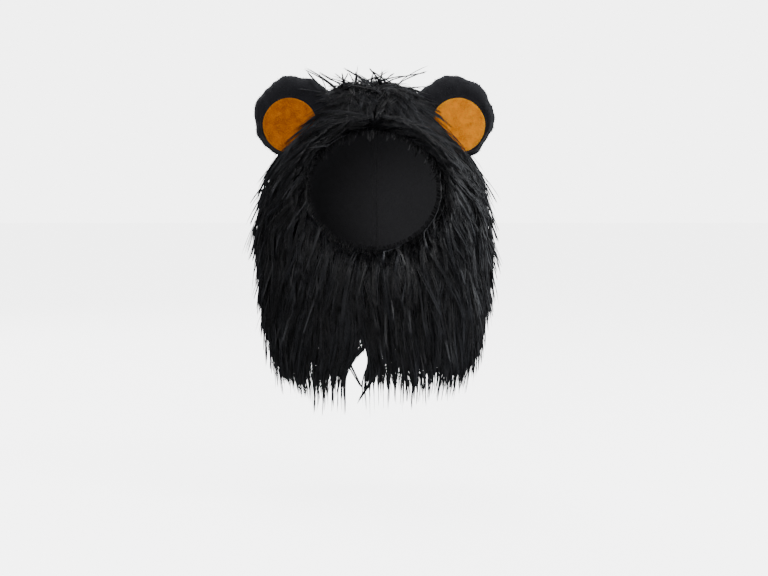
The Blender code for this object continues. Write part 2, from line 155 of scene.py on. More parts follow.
# %% A socket that takes part in sums
class Reading:
    """A number that changes over the surface."""

    def __init__(self, finish, socket):
        self.finish = finish
        self.socket = socket

    def worked(self, operation, first, second):
        settings = {"operation": operation}
        return self.finish.node("ShaderNodeMath", settings, {0: first, 1: second})

    def __add__(self, other):
        return self.worked('ADD', self, other)

    def __sub__(self, other):
        return self.worked('SUBTRACT', self, other)

    def __rsub__(self, other):
        return self.worked('SUBTRACT', other, self)

    def __mul__(self, other):
        return self.worked('MULTIPLY', self, other)

    __radd__ = __add__
    __rmul__ = __mul__


# %% A finish and its one way to add a node
class Finish:
    """A material with a Principled shader; fixed values go straight to the shader."""

    def __init__(self, name, **fixed):
        self.material = bpy.data.materials.new(name)
        self.material.use_nodes = True
        self.nodes = self.material.node_tree.nodes
        self.links = self.material.node_tree.links
        self.shader = self.nodes["Principled BSDF"]
        for key, value in fixed.items():
            self.shader.inputs[key.replace("_", " ")].default_value = value

    def plug(self, value, socket):
        """Link a reading to a socket, or set a plain value on it."""
        if isinstance(value, Reading):
            self.links.new(value.socket, socket)
        else:
            socket.default_value = value

    def node(self, kind, settings=None, inputs=None, output=0):
        """A new node: its settings first, then what goes into its sockets."""
        made = self.nodes.new(kind)
        for key, value in (settings or {}).items():
            if key == "stops":
                ramp = made.color_ramp.elements
                for stop, (place, shade) in zip(ramp, value):
                    stop.position = place
                    stop.color = (shade, shade, shade, 1)
            else:
                setattr(made, key, value)
        for key, value in (inputs or {}).items():
            self.plug(value, made.inputs[key])
        return Reading(self, made.outputs[output])

    def place(self, stretch=(1, 1, 1)):
        """Where a point lies on the object, in metres, stretched along each axis."""
        here = self.node("ShaderNodeTexCoord", output="Object")
        return self.node("ShaderNodeMapping", {}, {"Vector": here, "Scale": stretch})

    def noise(self, scale, detail=3.0, stretch=(1, 1, 1)):
        """Soft random spots from 0 to 1."""
        inputs = {"Vector": self.place(stretch), "Scale": scale, "Detail": detail}
        return self.node("ShaderNodeTexNoise", {}, inputs)

    def carried(self, name):
        """A number that the mesh carries at its points."""
        return self.node("ShaderNodeAttribute", {"attribute_name": name}, output="Fac")

    def ramp(self, value, low, high):
        """0 up to low, 1 from high on, and even between them."""
        return self.node("ShaderNodeValToRGB", {"stops": ((low, 0), (high, 1))},
                         {"Fac": value})

    def blend(self, share, first, second):
        """A colour that lies a share of the way from first to second."""
        inputs = {0: share, 6: self.full(first), 7: self.full(second)}
        return self.node("ShaderNodeMix", {"data_type": 'RGBA'}, inputs, output=2)

    @staticmethod
    def full(colour):
        """A colour with its fourth number, unless it is a link already."""
        return colour if isinstance(colour, Reading) else (*colour, 1)

    def bump(self, height, distance, strength=1.0):
        """Small relief, in metres."""
        inputs = {"Height": height, "Distance": distance, "Strength": strength}
        self.set("Normal", self.node("ShaderNodeBump", {}, inputs))

    def set(self, socket, value):
        """Feed one of the shader's own sockets."""
        self.plug(value, self.shader.inputs[socket])


# %% [markdown]
# ## Fur
# Fake fur is nylon or acrylic pile: nearly black, with a cold grey shine where the
# light strikes along it. The strands carry two numbers, `tone` and `along`, which
# make one strand a little lighter than the next and the tips lighter than the roots.
# A hair shader is meant for curves and can't be baked, so the plain shader is used.

# %% Fur
FUR_DARK, FUR_LIT = (0.0030, 0.0030, 0.0036), (0.040, 0.043, 0.052)
MAT_DARK, MAT_LIT = (0.003, 0.003, 0.004), (0.011, 0.011, 0.013)
fur_finish = Finish("black_fur", IOR=1.5, Specular_IOR_Level=0.42)
strand_tone = fur_finish.carried("tone")
strand_along = fur_finish.carried("along")
lightness = strand_tone * (0.35 + 0.65 * strand_along)
fur_finish.set("Base Color", fur_finish.blend(lightness, FUR_DARK, FUR_LIT))
fur_finish.set("Roughness", 0.50 - 0.09 * strand_tone)

under_fur_finish = Finish("under_fur", Roughness=0.9, Specular_IOR_Level=0.1)
mat = under_fur_finish.noise(900, stretch=(1, 1, 0.15))
under_fur_finish.set("Base Color", under_fur_finish.blend(mat, MAT_DARK, MAT_LIT))
under_fur_finish.bump(mat, 0.0012)
print("fur finishes:", fur_finish.material.name, under_fur_finish.material.name)

# %% [markdown]
# ## Cloth, fleece, tape and felt
# The hood is a plain knit, the ears are brushed fleece, the tab is hook and loop tape
# and the discs are pressed felt. Each is a fine noise that feeds the colour, the
# roughness and a little relief. The felt has two sizes of spots, clouds and fibres,
# and a painted highlight along its cut edge. The right disc is turned from the light,
# so it has a darker copy of the same colours: painted shade.

# %% Hood cloth, ear fleece and tape
CLOTH_DARK, CLOTH_PALE = (0.026, 0.026, 0.029), (0.064, 0.064, 0.070)
FLEECE_DARK, FLEECE_PALE = (0.0030, 0.0030, 0.0042), (0.012, 0.012, 0.016)
TAPE_DARK, TAPE_PALE = (0.010, 0.010, 0.012), (0.040, 0.040, 0.044)
cloth_finish = Finish("hood_cloth", Specular_IOR_Level=0.25, Sheen_Weight=0.15,
                      Sheen_Roughness=0.5)
knit = cloth_finish.noise(1500, 2)
cloth_finish.set("Base Color", cloth_finish.blend(knit, CLOTH_DARK, CLOTH_PALE))
cloth_finish.set("Roughness", 0.80 + 0.12 * knit)
cloth_finish.bump(knit, 0.0004)

fleece_finish = Finish("ear_fleece", Specular_IOR_Level=0.22, Sheen_Weight=0.12,
                       Sheen_Roughness=0.45, Sheen_Tint=(0.70, 0.74, 0.82, 1))
nap = fleece_finish.noise(1300, 4)
folds = fleece_finish.noise(90, 2)
fleece_finish.set("Base Color", fleece_finish.blend(nap, FLEECE_DARK, FLEECE_PALE))
fleece_finish.set("Roughness", 0.72 + 0.18 * nap)
fleece_finish.bump(0.35 * nap + 0.65 * folds, 0.0011)

tape_finish = Finish("tab_tape", Specular_IOR_Level=0.35)
pile = tape_finish.noise(2600, 1)
tape_finish.set("Base Color", tape_finish.blend(pile, TAPE_DARK, TAPE_PALE))
tape_finish.set("Roughness", 0.6 + 0.3 * pile)
tape_finish.bump(pile, 0.0003)
print("cloth finishes:", cloth_finish.material.name, fleece_finish.material.name,
      tape_finish.material.name)


# %% Felt
def felt_finish(name, dark, plain, pale):
    """Pressed felt: cloudy, with short fibres and a painted highlight along the cut edge.
    """
    felt = Finish(name, Specular_IOR_Level=0.10)
    clouds = felt.noise(190, 6)
    fibres = felt.noise(1300, 4, (1, 1, 2.4))
    ground = felt.blend(felt.ramp(clouds, 0.36, 0.64), dark, plain)
    speckled = felt.blend(0.7 * felt.ramp(fibres, 0.45, 0.72), ground, pale)
    # Towards the cut edge the colour runs to the pale one: a painted highlight.
    felt.set("Base Color", felt.blend(0.55 * felt.carried("edge"), speckled, pale))
    felt.set("Roughness", 0.88 + 0.1 * clouds)
    felt.bump(0.7 * fibres + 0.3 * clouds, 0.0014)
    return felt


# The right disc's colours are a darker copy of the left's: painted shade, because that
# disc is turned from the light.
felt_left = felt_finish("orange_felt_left", (0.66, 0.150, 0.0),
                        (0.98, 0.275, 0.002), (1.0, 0.48, 0.03))
felt_right_painted_shade = felt_finish("orange_felt_right_painted_shade", (0.30, 0.062, 0.001),
                         (0.51, 0.124, 0.004), (0.76, 0.25, 0.014))
print("felt finishes:", felt_left.material.name, felt_right_painted_shade.material.name)

# %% [markdown]
# ## Floor and backdrop
# The floor is plain and pale, and lies a little below the hem. A white sweep stands
# far round it. Both glow, as a paper sweep with lights of its own does, but they light
# nothing themselves, so the black fur stays black.

# %% Floor
FLOOR_HEIGHT = -0.278
FLOOR_SIZE, BACKDROP_RADIUS = 12, 6.5
bpy.ops.mesh.primitive_plane_add(size=FLOOR_SIZE, location=(0, 0, FLOOR_HEIGHT))
floor = bpy.context.object
floor.name = "floor"
floor_finish = Finish("pale_floor", Roughness=0.55, Base_Color=(0.93, 0.93, 0.94, 1),
                      Emission_Color=(1, 1, 1, 1), Emission_Strength=4.3)
floor.data.materials.append(floor_finish.material)

bpy.ops.object.select_all(action='DESELECT')
bpy.ops.mesh.primitive_uv_sphere_add(segments=48, ring_count=24,
                                     radius=BACKDROP_RADIUS)
backdrop = bpy.context.object
backdrop.name = "backdrop"
backdrop_finish = Finish("pale_backdrop", Base_Color=(0, 0, 0, 1), Roughness=1.0,
                         Emission_Color=(1, 1, 1, 1), Emission_Strength=5.2)
backdrop.data.materials.append(backdrop_finish.material)
for wall in (floor, backdrop):
    wall.visible_diffuse = False
    wall.visible_glossy = False
    wall.visible_shadow = False
print("floor at", FLOOR_HEIGHT)

# %% [markdown]
# ## Pulling a skin ring by ring
# Soft shapes such as a hood or an ear are easy to see as a row of rings. The helper
# starts from a circle and extrudes its edge loop once for each ring, and sets the
# new points on the ring. Each point remembers its place round the ring, because
# extruding copies that number.

# %% Pull rings and change a mesh
SHARP_ANGLE = 60
START_RADIUS = 0.05


def select_only(piece):
    """Select one object and make it the active one."""
    bpy.ops.object.select_all(action='DESELECT')
    piece.select_set(True)
    bpy.context.view_layer.objects.active = piece


def set_ring(shape, ring):
    """Put the selected points on a ring, each at its own place."""
    place = shape.verts.layers.int["place"]
    for vert in shape.verts:
        if vert.select:
            vert.co = ring[vert[place]]


def pull_rings(name, rings, caps=True):
    """A skin through rings of equal count, closed with a face at each end."""
    bpy.ops.object.select_all(action='DESELECT')
    bpy.ops.mesh.primitive_circle_add(vertices=len(rings[0]), radius=START_RADIUS)
    piece = bpy.context.object
    piece.name = piece.data.name = name
    bpy.ops.object.mode_set(mode='EDIT')
    bpy.ops.mesh.select_mode(type='VERT')
    shape = bmesh.from_edit_mesh(piece.data)
    place = shape.verts.layers.int.new("place")
    shape.verts.layers.int.new("row")
    for number, vert in enumerate(shape.verts):
        vert[place] = number
        vert.select_set(True)
    shape.select_flush(True)
    set_ring(shape, rings[0])
    for number, ring in enumerate(rings[1:], 1):
        bpy.ops.mesh.extrude_edges_move()
        shape = bmesh.from_edit_mesh(piece.data)
        row = shape.verts.layers.int["row"]
        for vert in shape.verts:
            if vert.select:
                vert[row] = number
        set_ring(shape, ring)
    for end in ((len(rings) - 1, 0) if caps else ()):
        shape = bmesh.from_edit_mesh(piece.data)
        row = shape.verts.layers.int["row"]
        bpy.ops.mesh.select_all(action='DESELECT')
        for vert in shape.verts:
            vert.select_set(vert[row] == end)
        shape.select_flush(True)
        bpy.ops.mesh.edge_face_add()
    bpy.ops.mesh.select_all(action='SELECT')
    if caps:
        bpy.ops.mesh.normals_make_consistent(inside=False)
    bpy.ops.object.mode_set(mode='OBJECT')
    return piece


def change(piece, kind, name, **settings):
    """Add a modifier, set it and apply it."""
    select_only(piece)
    modifier = piece.modifiers.new(name, kind)
    for key, value in settings.items():
        setattr(modifier, key, value)
    bpy.ops.object.modifier_apply(modifier=modifier.name)


print("a skin is pulled from a circle of radius", START_RADIUS)


# %% Put a finished piece on the part
def put_on(piece, finish, slot, *nodes):
    """Give a piece its finish, and let it ride on the part and stand for its nodes."""
    piece.data.materials.clear()
    piece.data.materials.append(finish.material)
    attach(piece, "root")
    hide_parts(*nodes)
    print(piece.name, len(piece.data.polygons), "faces")


def dress(piece, finish, slot, *nodes):
    """Shade a finished piece smooth up to its sharp edges and put it on."""
    select_only(piece)
    bpy.ops.object.shade_smooth_by_angle(angle=math.radians(SHARP_ANGLE))
    put_on(piece, finish, slot, *nodes)


# %% [markdown]
# ## Hood
# The hood is stretchy cloth, cut to the head, with a face hole and a neck hole. Its
# lining shows through the face hole. Solidify could give a single skin its wall, but
# here the lining is pulled ring by ring from the face edge round to the neck and the
# outside back again, so both have exactly the part's form. The two ends are bridged,
# and a small bevel turns the edges.

# %% The hood's form
def mix(start, end, share):
    """The value that lies a share of the way from start to end."""
    return start + (end - start) * share


def head_reach(turn):
    """From the throat axis to the outline of the head, at an angle back from up."""
    up = abs(math.cos(turn)) / HEAD_HEIGHT
    back = abs(math.sin(turn)) / HEAD_DEPTH
    total = up ** HEAD_SQUARENESS + back ** HEAD_SQUARENESS
    return total ** (-1.0 / HEAD_SQUARENESS)


def hood_point(turn_degrees, place, grow):
    """A point of the hood's lining moved out by grow, as seen from the crown."""
    turn = math.radians(turn_degrees)
    share = turn_degrees / NECK_TURN
    swell = np.interp(turn_degrees, HOOD_TURNS, HOOD_SWELLS)
    rim_reach = THROAT_RADIUS + mix(FACE_HEIGHT, NECK_DEPTH, share)
    rim_width = mix(FACE_WIDTH, NECK_WIDTH, share)
    far = mix(rim_reach, head_reach(turn), swell) + grow
    near = THROAT_RADIUS - grow
    half_width = mix(rim_width, HEAD_WIDTH, swell) / 2 + grow
    reach = (far + near) / 2 + (far - near) / 2 * math.cos(place)
    side = half_width * math.sin(place)
    point = (side, reach * math.sin(turn), reach * math.cos(turn))
    return Vector(point) - Vector(CROWN)


def hood_ring(turn, grow, count):
    """One whole section of the hood."""
    return [hood_point(turn, 2 * math.pi * n / count, grow) for n in range(count)]


print("the hood reaches up", round(float(head_reach(0.0)), 4), "m over the throat")

# %% Make the hood
EDGE_TURN = 0.0008
HOOD_SECTIONS = [0, 2.5, 5, 8, 11, 16, 21, 28, 36, 44, 51, 58, 66, 72, 78, 84, 90,
                 95, 100]
lining = [hood_ring(turn, 0.0, HOOD_STEPS) for turn in HOOD_SECTIONS]
outside = [hood_ring(turn, HOOD_WALL, HOOD_STEPS) for turn in reversed(HOOD_SECTIONS)]
hood = pull_rings("hood_shell", lining + outside, caps=False)
select_only(hood)
bpy.ops.object.mode_set(mode='EDIT')
shape = bmesh.from_edit_mesh(hood.data)
row = shape.verts.layers.int["row"]
bpy.ops.mesh.select_all(action='DESELECT')
for vert in shape.verts:
    vert.select_set(vert[row] in (0, 2 * len(HOOD_SECTIONS) - 1))
shape.select_flush(True)
bpy.ops.mesh.bridge_edge_loops()
bpy.ops.mesh.select_all(action='SELECT')
bpy.ops.mesh.normals_make_consistent(inside=False)
bpy.ops.object.mode_set(mode='OBJECT')
change(hood, 'BEVEL', "turned_edges", width=EDGE_TURN, segments=2,
       limit_method='ANGLE', angle_limit=math.radians(SHARP_ANGLE))
dress(hood, cloth_finish, "hood_cloth", "hood")

# %% [markdown]
# ## Seam
# Two halves of cloth meet down the middle of the hood, and their seam shows on the
# lining as a low ridge. It could be relief in the finish, but a flat tube pulled along
# the lining catches the light better.

# %% The seam down the middle of the lining
SEAM_WIDTH, SEAM_HEIGHT = 0.0021, 0.0008
SEAM_LIFT = 0.0001
SEAM_TURNS = np.linspace(12, 98, 30)
SEAM_STEPS = 10
seam_rings = []
for turn in SEAM_TURNS:
    middle = hood_point(turn, 0.0, -SEAM_LIFT)
    onward = hood_point(turn + 1, 0.0, 0.0) - hood_point(turn - 1, 0.0, 0.0)
    onward = onward.normalized()
    raised = onward.cross(Vector((1, 0, 0)))
    ring = []
    for step in range(SEAM_STEPS):
        angle = 2 * math.pi * step / SEAM_STEPS
        ring.append(middle + Vector((math.cos(angle) * SEAM_WIDTH, 0, 0))
                    + raised * math.sin(angle) * SEAM_HEIGHT)
    seam_rings.append(ring)
seam = pull_rings("hood_seam", seam_rings)
dress(seam, cloth_finish, "hood_cloth", "hood")

# %% [markdown]
# ## The bell of the fur
# The fur's outline is a bell: narrow at the crown, widest at the throat and a little
# narrower at the hem. Each level is a rounded oblong. For the strands it is written
# for whole arrays of points at once, with a function that says how far out a point
# lies, so that strands can be drawn along the bell and laid back on it.

# %% The outline as arrays
def smooth_reading(levels, values, fine):
    """Values read smoothly between the rows of a table."""
    levels, values = np.array(levels), np.array(values)
    slopes = np.gradient(values, levels)
    slopes[1:-1] = (values[2:] - values[:-2]) / (levels[2:] - levels[:-2])
    first = np.clip(np.searchsorted(levels, fine) - 1, 0, len(levels) - 2)
    span = levels[first + 1] - levels[first]
    share = (fine - levels[first]) / span
    cube, square = share ** 3, share ** 2
    return ((2 * cube - 3 * square + 1) * values[first]
            + (cube - 2 * square + share) * slopes[first] * span
            + (3 * square - 2 * cube) * values[first + 1]
            + (cube - square) * slopes[first + 1] * span)


def level_height(level):
    """Height of a level of the fur above the throat axis."""
    return np.where(level < 1, MANE_TOP, BIB_LENGTH) * (1 - level)


FINE_LEVELS = np.linspace(2.0, -0.02, 600)
BELL_HEIGHTS = level_height(FINE_LEVELS)
BELL_HALVES = MANE_HALF_WIDTH * smooth_reading(MANE_LEVELS, MANE_WIDTHS, FINE_LEVELS)
BELL_FRONTS = -FUR_FRONT * smooth_reading(MANE_LEVELS, MANE_FRONTS, FINE_LEVELS)
BELL_BACKS = MANE_BACK * smooth_reading(MANE_LEVELS, MANE_BACKS, FINE_LEVELS)
SMALLEST_HALF = 0.0015
SLOPE_STEP = 0.0004
LONGEST_MOVE = 0.01


def bell_section(heights, inset=0.0):
    """Half width, middle depth and half depth of the bell at some heights."""
    half = np.interp(heights, BELL_HEIGHTS, BELL_HALVES) - inset
    front = np.interp(heights, BELL_HEIGHTS, BELL_FRONTS) + inset
    back = np.interp(heights, BELL_HEIGHTS, BELL_BACKS) - inset
    depth = np.maximum((back - front) / 2, SMALLEST_HALF)
    return np.maximum(half, SMALLEST_HALF), (front + back) / 2, depth


def bell_points(azimuths, levels, inset=0.0):
    """Points of the bell; azimuth is in degrees from the front to the left."""
    heights = level_height(levels)
    half, middle, depth = bell_section(heights, inset)
    side, ahead = np.sin(np.radians(azimuths)), np.cos(np.radians(azimuths))
    power = 2.0 / MANE_SQUARENESS
    x = half * np.sign(side) * np.abs(side) ** power
    y = middle - depth * np.sign(ahead) * np.abs(ahead) ** power
    return np.stack([x, y, heights], axis=-1)


print("the bell is", round(float(BELL_HEIGHTS[-1] - BELL_HEIGHTS[0]), 4), "m tall")


# %% How far out a point lies, and the way out
def bell_share(points):
    """1 on the bell and less inside it."""
    half, middle, depth = bell_section(points[..., 2])
    across = np.abs(points[..., 0]) / half
    along = np.abs(points[..., 1] - middle) / depth
    share = across ** MANE_SQUARENESS + along ** MANE_SQUARENESS
    return share ** (1 / MANE_SQUARENESS)


def bell_slope(points):
    """How bell_share grows along each axis."""
    slope = np.empty_like(points)
    for axis in range(3):
        shift = np.zeros(3)
        shift[axis] = SLOPE_STEP
        slope[..., axis] = bell_share(points + shift) - bell_share(points - shift)
    return slope / (2 * SLOPE_STEP)


def unit(vectors):
    """Vectors of length one."""
    length = np.linalg.norm(vectors, axis=-1, keepdims=True)
    return vectors / np.maximum(length, 1e-9)


def on_bell(points, rounds=2):
    """Points laid back on the bell."""
    for _ in range(rounds):
        slope = bell_slope(points)
        steep = np.maximum((slope ** 2).sum(-1, keepdims=True), 1.0)
        move = (1 - bell_share(points))[..., None] * slope / steep
        points = points + np.clip(move, -LONGEST_MOVE, LONGEST_MOVE)
    return points


print("share of a point on the bell:",
      bell_share(bell_points(np.array([40.0]), np.array([0.9]))).round(4))

# %% [markdown]
# ## Under-fur
# Between the strands the eye meets the backing cloth and the dense roots. A dark
# bell lies 5 mm inside the outline of the fur, hollow where the hood and the neck are
# and open in front of the face hole, so nothing light shows through. Strands thick
# enough to hide the hood by themselves would need many more triangles.

# %% Make the under-fur
UNDER_INSET = 0.0050
UNDER_STEPS = 64
UNDER_LEVELS = [0.012, 0.03, 0.06, 0.11, 0.16, 0.22, 0.29, 0.37, 0.46, 0.56, 0.67, 0.78,
                0.89, 1.0, 1.15, 1.3, 1.44]
CAPE_WALL = 0.0150
CAPE_LEVELS = (2.3, 1.6, 1.22)
FUR_LAP = 0.0025
CRATER_DEPTHS = (-0.0450, -0.0200, -GAP, 0.0)
CRATER_GROWS = (0.0200, 0.0110, -FUR_LAP, -FUR_LAP)


def about_crown(points):
    """Points moved from the throat axis to the crown, as vectors."""
    return [Vector(point) for point in np.asarray(points) - CROWN]


def under_ring(level):
    """One section of the under-fur."""
    azimuths = np.arange(UNDER_STEPS) * 360.0 / UNDER_STEPS
    return about_crown(bell_points(azimuths, np.full(UNDER_STEPS, level), UNDER_INSET))


def face_oval(places, depth, grow):
    """Points on an oval round the face hole, at one depth or at a depth for each."""
    return np.stack([np.sin(places) * (FACE_WIDTH / 2 + grow),
                     np.full(len(places), depth),
                     FACE_MIDDLE + np.cos(places) * (FACE_HEIGHT / 2 + grow)], axis=-1)


def face_ring(depth, grow):
    """A ring round the face hole in a plane in front of the hood."""
    places = 2 * np.pi * np.arange(HOOD_STEPS) / HOOD_STEPS
    return about_crown(face_oval(places, depth, grow))


def cape_ring(level):
    """The inside of the fur below the neck."""
    azimuths = 180.0 - np.arange(HOOD_STEPS) * 360.0 / HOOD_STEPS
    return about_crown(bell_points(azimuths, np.full(HOOD_STEPS, level), CAPE_WALL))


grow = HOOD_WALL + GAP
hollow_rings = [cape_ring(level) for level in CAPE_LEVELS]
hollow_rings += [hood_ring(turn, grow, HOOD_STEPS) for turn in reversed(HOOD_SECTIONS)]
hollow_rings.append(face_ring(-GAP, grow))
hollow_rings += [face_ring(depth, reach) for depth, reach
                 in zip(CRATER_DEPTHS[2::-1], CRATER_GROWS[2::-1])]
hollow = pull_rings("hollow", hollow_rings)
under_fur = pull_rings("under_fur", [under_ring(level) for level in UNDER_LEVELS])
for piece in (hollow, under_fur):
    select_only(piece)
    bpy.ops.object.mode_set(mode='EDIT')
    bpy.ops.mesh.select_all(action='SELECT')
    bpy.ops.mesh.quads_convert_to_tris()
    bpy.ops.object.mode_set(mode='OBJECT')
change(under_fur, 'BOOLEAN', "hollow", operation='DIFFERENCE', solver='EXACT',
       object=hollow)
print("under-fur faces:", len(under_fur.data.polygons))

# %% [markdown]
# ## Ears
# Each ear is two rounds of fleece sewn together, turned and lightly stuffed. The seam
# pulls the edge into shallow gathers, and the felt disc is sewn on, so the fleece
# rolls over its edge. A cloth simulation could stuff it, but rings give the gathers
# and the roll their known sizes. The ear is drawn flat, ring by ring from the middle
# of its back to the seat of the disc, and then set on the hood.

# %% Where an ear stands
DISC_BESIDE, DISC_BELOW = 0.31, 0.52


def ear_frame(side):
    """Where an ear's middle lies and how it is turned; side is 1 for the left."""
    seam = hood_point(EAR_TURN, side * math.radians(EAR_SEAT), HOOD_WALL)
    lean = math.radians(EAR_LEAN)
    away = Vector((side * math.sin(lean), 0, math.cos(lean)))
    middle = seam + away * (PATCH_RADIUS + EAR_RIM - EAR_SINK)
    turned = Matrix.Rotation(side * math.radians(EAR_YAW), 4, 'Z')
    return Matrix.Translation(middle) @ turned


def patch_middle(side):
    """The middle of the felt disc beside the middle of the ear."""
    return Vector((side * DISC_BESIDE * EAR_RIM, 0, -DISC_BELOW * EAR_RIM))


print("the left ear stands at", [round(value, 4) for value in ear_frame(1).translation])

# %% The ear's sections
EAR_STEPS = 105
EAR_RADIUS = PATCH_RADIUS + EAR_RIM
HALF_EAR = EAR_THICKNESS / 2
EAR_ROWS = ((0.10, 1.00), (0.30, 0.99), (0.50, 0.94), (0.66, 0.87), (0.79, 0.76),
            (0.88, 0.62), (0.945, 0.43), (0.985, 0.21), (1.0, 0.0), (0.995, -0.22),
            (0.965, -0.47), (0.92, -0.70))
ROLL_ROWS = ((0.22, 0.90), (0.45, 1.0), (0.70, 0.97), (0.88, 0.86))
SEAT_ROWS = ((-0.0004, 0.7), (-0.0012, 1.0))
PUCKER_DEPTH = 0.00065
LOBES, LOBE_SHARE = 7, 0.023


def pucker(side, angle):
    """How far the sewn edge draws in at an angle, from -1 to 1."""
    slow = math.sin(5 * angle + 1.1 * side) + math.sin(11 * angle - 0.8 * side)
    quick = math.sin(19 * angle + 1.3 * side + 1.7 * math.sin(3 * angle))
    return 0.35 * slow + 0.45 * quick


def ear_ring(side, radius, depth, creased):
    """A section of the ear with its lobes and gathers."""
    ring = []
    for step in range(EAR_STEPS):
        angle = 2 * math.pi * step / EAR_STEPS
        lobe = math.cos(LOBES * angle + 0.6 * side)
        reach = radius * (1 + LOBE_SHARE * lobe)
        reach += creased * PUCKER_DEPTH * pucker(side, angle)
        ring.append(Vector((math.cos(angle) * reach, depth, math.sin(angle) * reach)))
    return ring


def seat_ring(side, grow, depth, creased=0.0):
    """A round about the felt disc."""
    ring = []
    for step in range(EAR_STEPS):
        angle = 2 * math.pi * step / EAR_STEPS
        reach = PATCH_RADIUS + GAP + grow + creased * PUCKER_DEPTH * pucker(side, angle)
        flat = Vector((math.cos(angle) * reach, depth, math.sin(angle) * reach))
        ring.append(flat + patch_middle(side))
    return ring


def ear_rings(side):
    """All sections of an ear, from its back to the floor of its seat."""
    rings = []
    for radius, depth in EAR_ROWS:
        creased = max(0.0, 1 - abs(radius - 0.97) / 0.25) if depth < 0.9 else 0.0
        rings.append(ear_ring(side, EAR_RADIUS * radius, HALF_EAR * depth, creased))
    edge = rings[-1]
    lip = seat_ring(side, 0.0, -HALF_EAR + 0.25 * DISH_DEPTH, 0.4)
    for share, height in ROLL_ROWS:
        ring = []
        for step in range(EAR_STEPS):
            angle = 2 * math.pi * step / EAR_STEPS
            point = edge[step].lerp(lip[step], share)
            crease = PUCKER_DEPTH * share * (1 - share) * 3 * pucker(side, angle)
            point.y = -HALF_EAR * height + crease
            ring.append(point)
        rings.append(ring)
    rings.append(lip)
    rings += [seat_ring(side, grow, -HALF_EAR + share * DISH_DEPTH)
              for grow, share in SEAT_ROWS]
    return rings


print("rings in an ear:", len(ear_rings(1)))


# %% Make the ears
def make_ear(side, word):
    """An ear on its place, cut where its seam lies on the hood."""
    ear = pull_rings(f"ear_{word}_pad", ear_rings(side))
    ear.data.transform(ear_frame(side))
    change(ear, 'BOOLEAN', "seam", operation='DIFFERENCE', solver='EXACT',
           object=hollow)
    dress(ear, fleece_finish, "ear_fleece", f"ear_{word}")
    return ear


ears = {word: make_ear(side, word) for side, word in ((1, "left"), (-1, "right"))}

# %% [markdown]
# ## Felt discs
# A disc is punched from pressed felt 1.5 mm thick. It starts as a short cylinder; its
# front is inset a few times, which gives the rows of points that carry the painted
# highlight along the cut edge and the slight swell of the felt.

# %% Make the discs
DISC_INSETS = (0.0004, 0.0006, 0.0012, 0.0030, 0.0040, 0.0050)
DISC_SWELL, SWELL_ROWS = 0.00012, 2
DISC_WAVE, DISC_UNEVEN = 0.0002, 0.004
CUT_BEVEL, CUT_ANGLE = 0.0003, 50
# Where the painted highlight along the cut edge starts and where it is full, in from the
# rim.
EDGE_HIGHLIGHT_BAND = (0.0011, 0.0004)


def make_disc(side, word, finish):
    """A felt disc on the floor of its seat."""
    bpy.ops.object.select_all(action='DESELECT')
    bpy.ops.mesh.primitive_cylinder_add(vertices=96, radius=PATCH_RADIUS,
                                        depth=PATCH_THICKNESS)
    disc = bpy.context.object
    disc.name = disc.data.name = f"felt_disc_{word}"
    bpy.ops.object.mode_set(mode='EDIT')
    shape = bmesh.from_edit_mesh(disc.data)
    bpy.ops.mesh.select_mode(type='FACE')
    bpy.ops.mesh.select_all(action='DESELECT')
    for face in shape.faces:
        face.select_set(face.normal.z > 0.9)
    for row, width in enumerate(DISC_INSETS):
        bpy.ops.mesh.inset(thickness=width, depth=DISC_SWELL if row < SWELL_ROWS else 0.0)
    bpy.ops.object.mode_set(mode='OBJECT')
    change(disc, 'BEVEL', "cut_edge", width=CUT_BEVEL, segments=2,
           limit_method='ANGLE', angle_limit=math.radians(CUT_ANGLE))
    # A band along the cut edge is marked for the finish to paint paler: a painted
    # highlight.
    edge = disc.data.attributes.new("edge", 'FLOAT', 'POINT')
    pale = [PATCH_RADIUS - width for width in EDGE_HIGHLIGHT_BAND]
    for number, vert in enumerate(disc.data.vertices):
        reach = vert.co.xy.length
        edge.data[number].value = float(np.interp(reach, pale, (0, 1)))
        turn = math.atan2(vert.co.y, vert.co.x)
        vert.co.z += DISC_WAVE * math.sin(3 * turn + side) * (reach / PATCH_RADIUS) ** 2
        vert.co.xy *= 1 + DISC_UNEVEN * math.sin(5 * turn + side)
    floor_depth = -HALF_EAR + DISH_DEPTH - GAP - PATCH_THICKNESS / 2
    middle = patch_middle(side) + Vector((0, floor_depth, 0))
    lay = Matrix.Translation(middle) @ Matrix.Rotation(math.radians(90), 4, 'X')
    disc.data.transform(ear_frame(side) @ lay)
    dress(disc, finish, "orange_felt", f"ear_{word}_patch")


make_disc(1, "left", felt_left)
make_disc(-1, "right", felt_right_painted_shade)

# %% [markdown]
# ## Tab
# The tab under the throat is plain tape and already has its shape in the part, so it
# only gets its finish.

# %% Finish the tab
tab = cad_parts["chin_tab"]
for number in range(len(tab.material_slots)):
    tab.material_slots[number].material = tape_finish.material
print("tab faces:", len(tab.data.polygons))

# %% [markdown]
# ## Room for the ears in the under-fur
# The ears stand in the fur, so the under-fur is cut back round each with a plain round
# cutter. It would also hide much of the right disc, so a round window is cut in front
# of it, a little outwards and upwards, which leaves only the disc's lower inner edge
# covered. Round holes are enough, because the strands cover their edges.

# %% Cut the ear rooms and the view of the disc
ROOM_GROW, ROOM_SLACK = 1.03, 0.002
VIEW_SHIFT = Vector((-0.0075, 0, 0.0075))
VIEW_GROW, VIEW_DEPTH = 0.001, 0.030


def cut_round(name, radius, depth, place):
    """Cut a round hole in the under-fur, with its axis from front to back."""
    bpy.ops.object.select_all(action='DESELECT')
    bpy.ops.mesh.primitive_cylinder_add(vertices=64, radius=radius, depth=depth)
    cutter = bpy.context.object
    cutter.data.transform(place @ Matrix.Rotation(math.radians(90), 4, 'X'))
    change(under_fur, 'BOOLEAN', name, operation='DIFFERENCE', solver='EXACT',
           object=cutter)
    bpy.data.objects.remove(cutter, do_unlink=True)


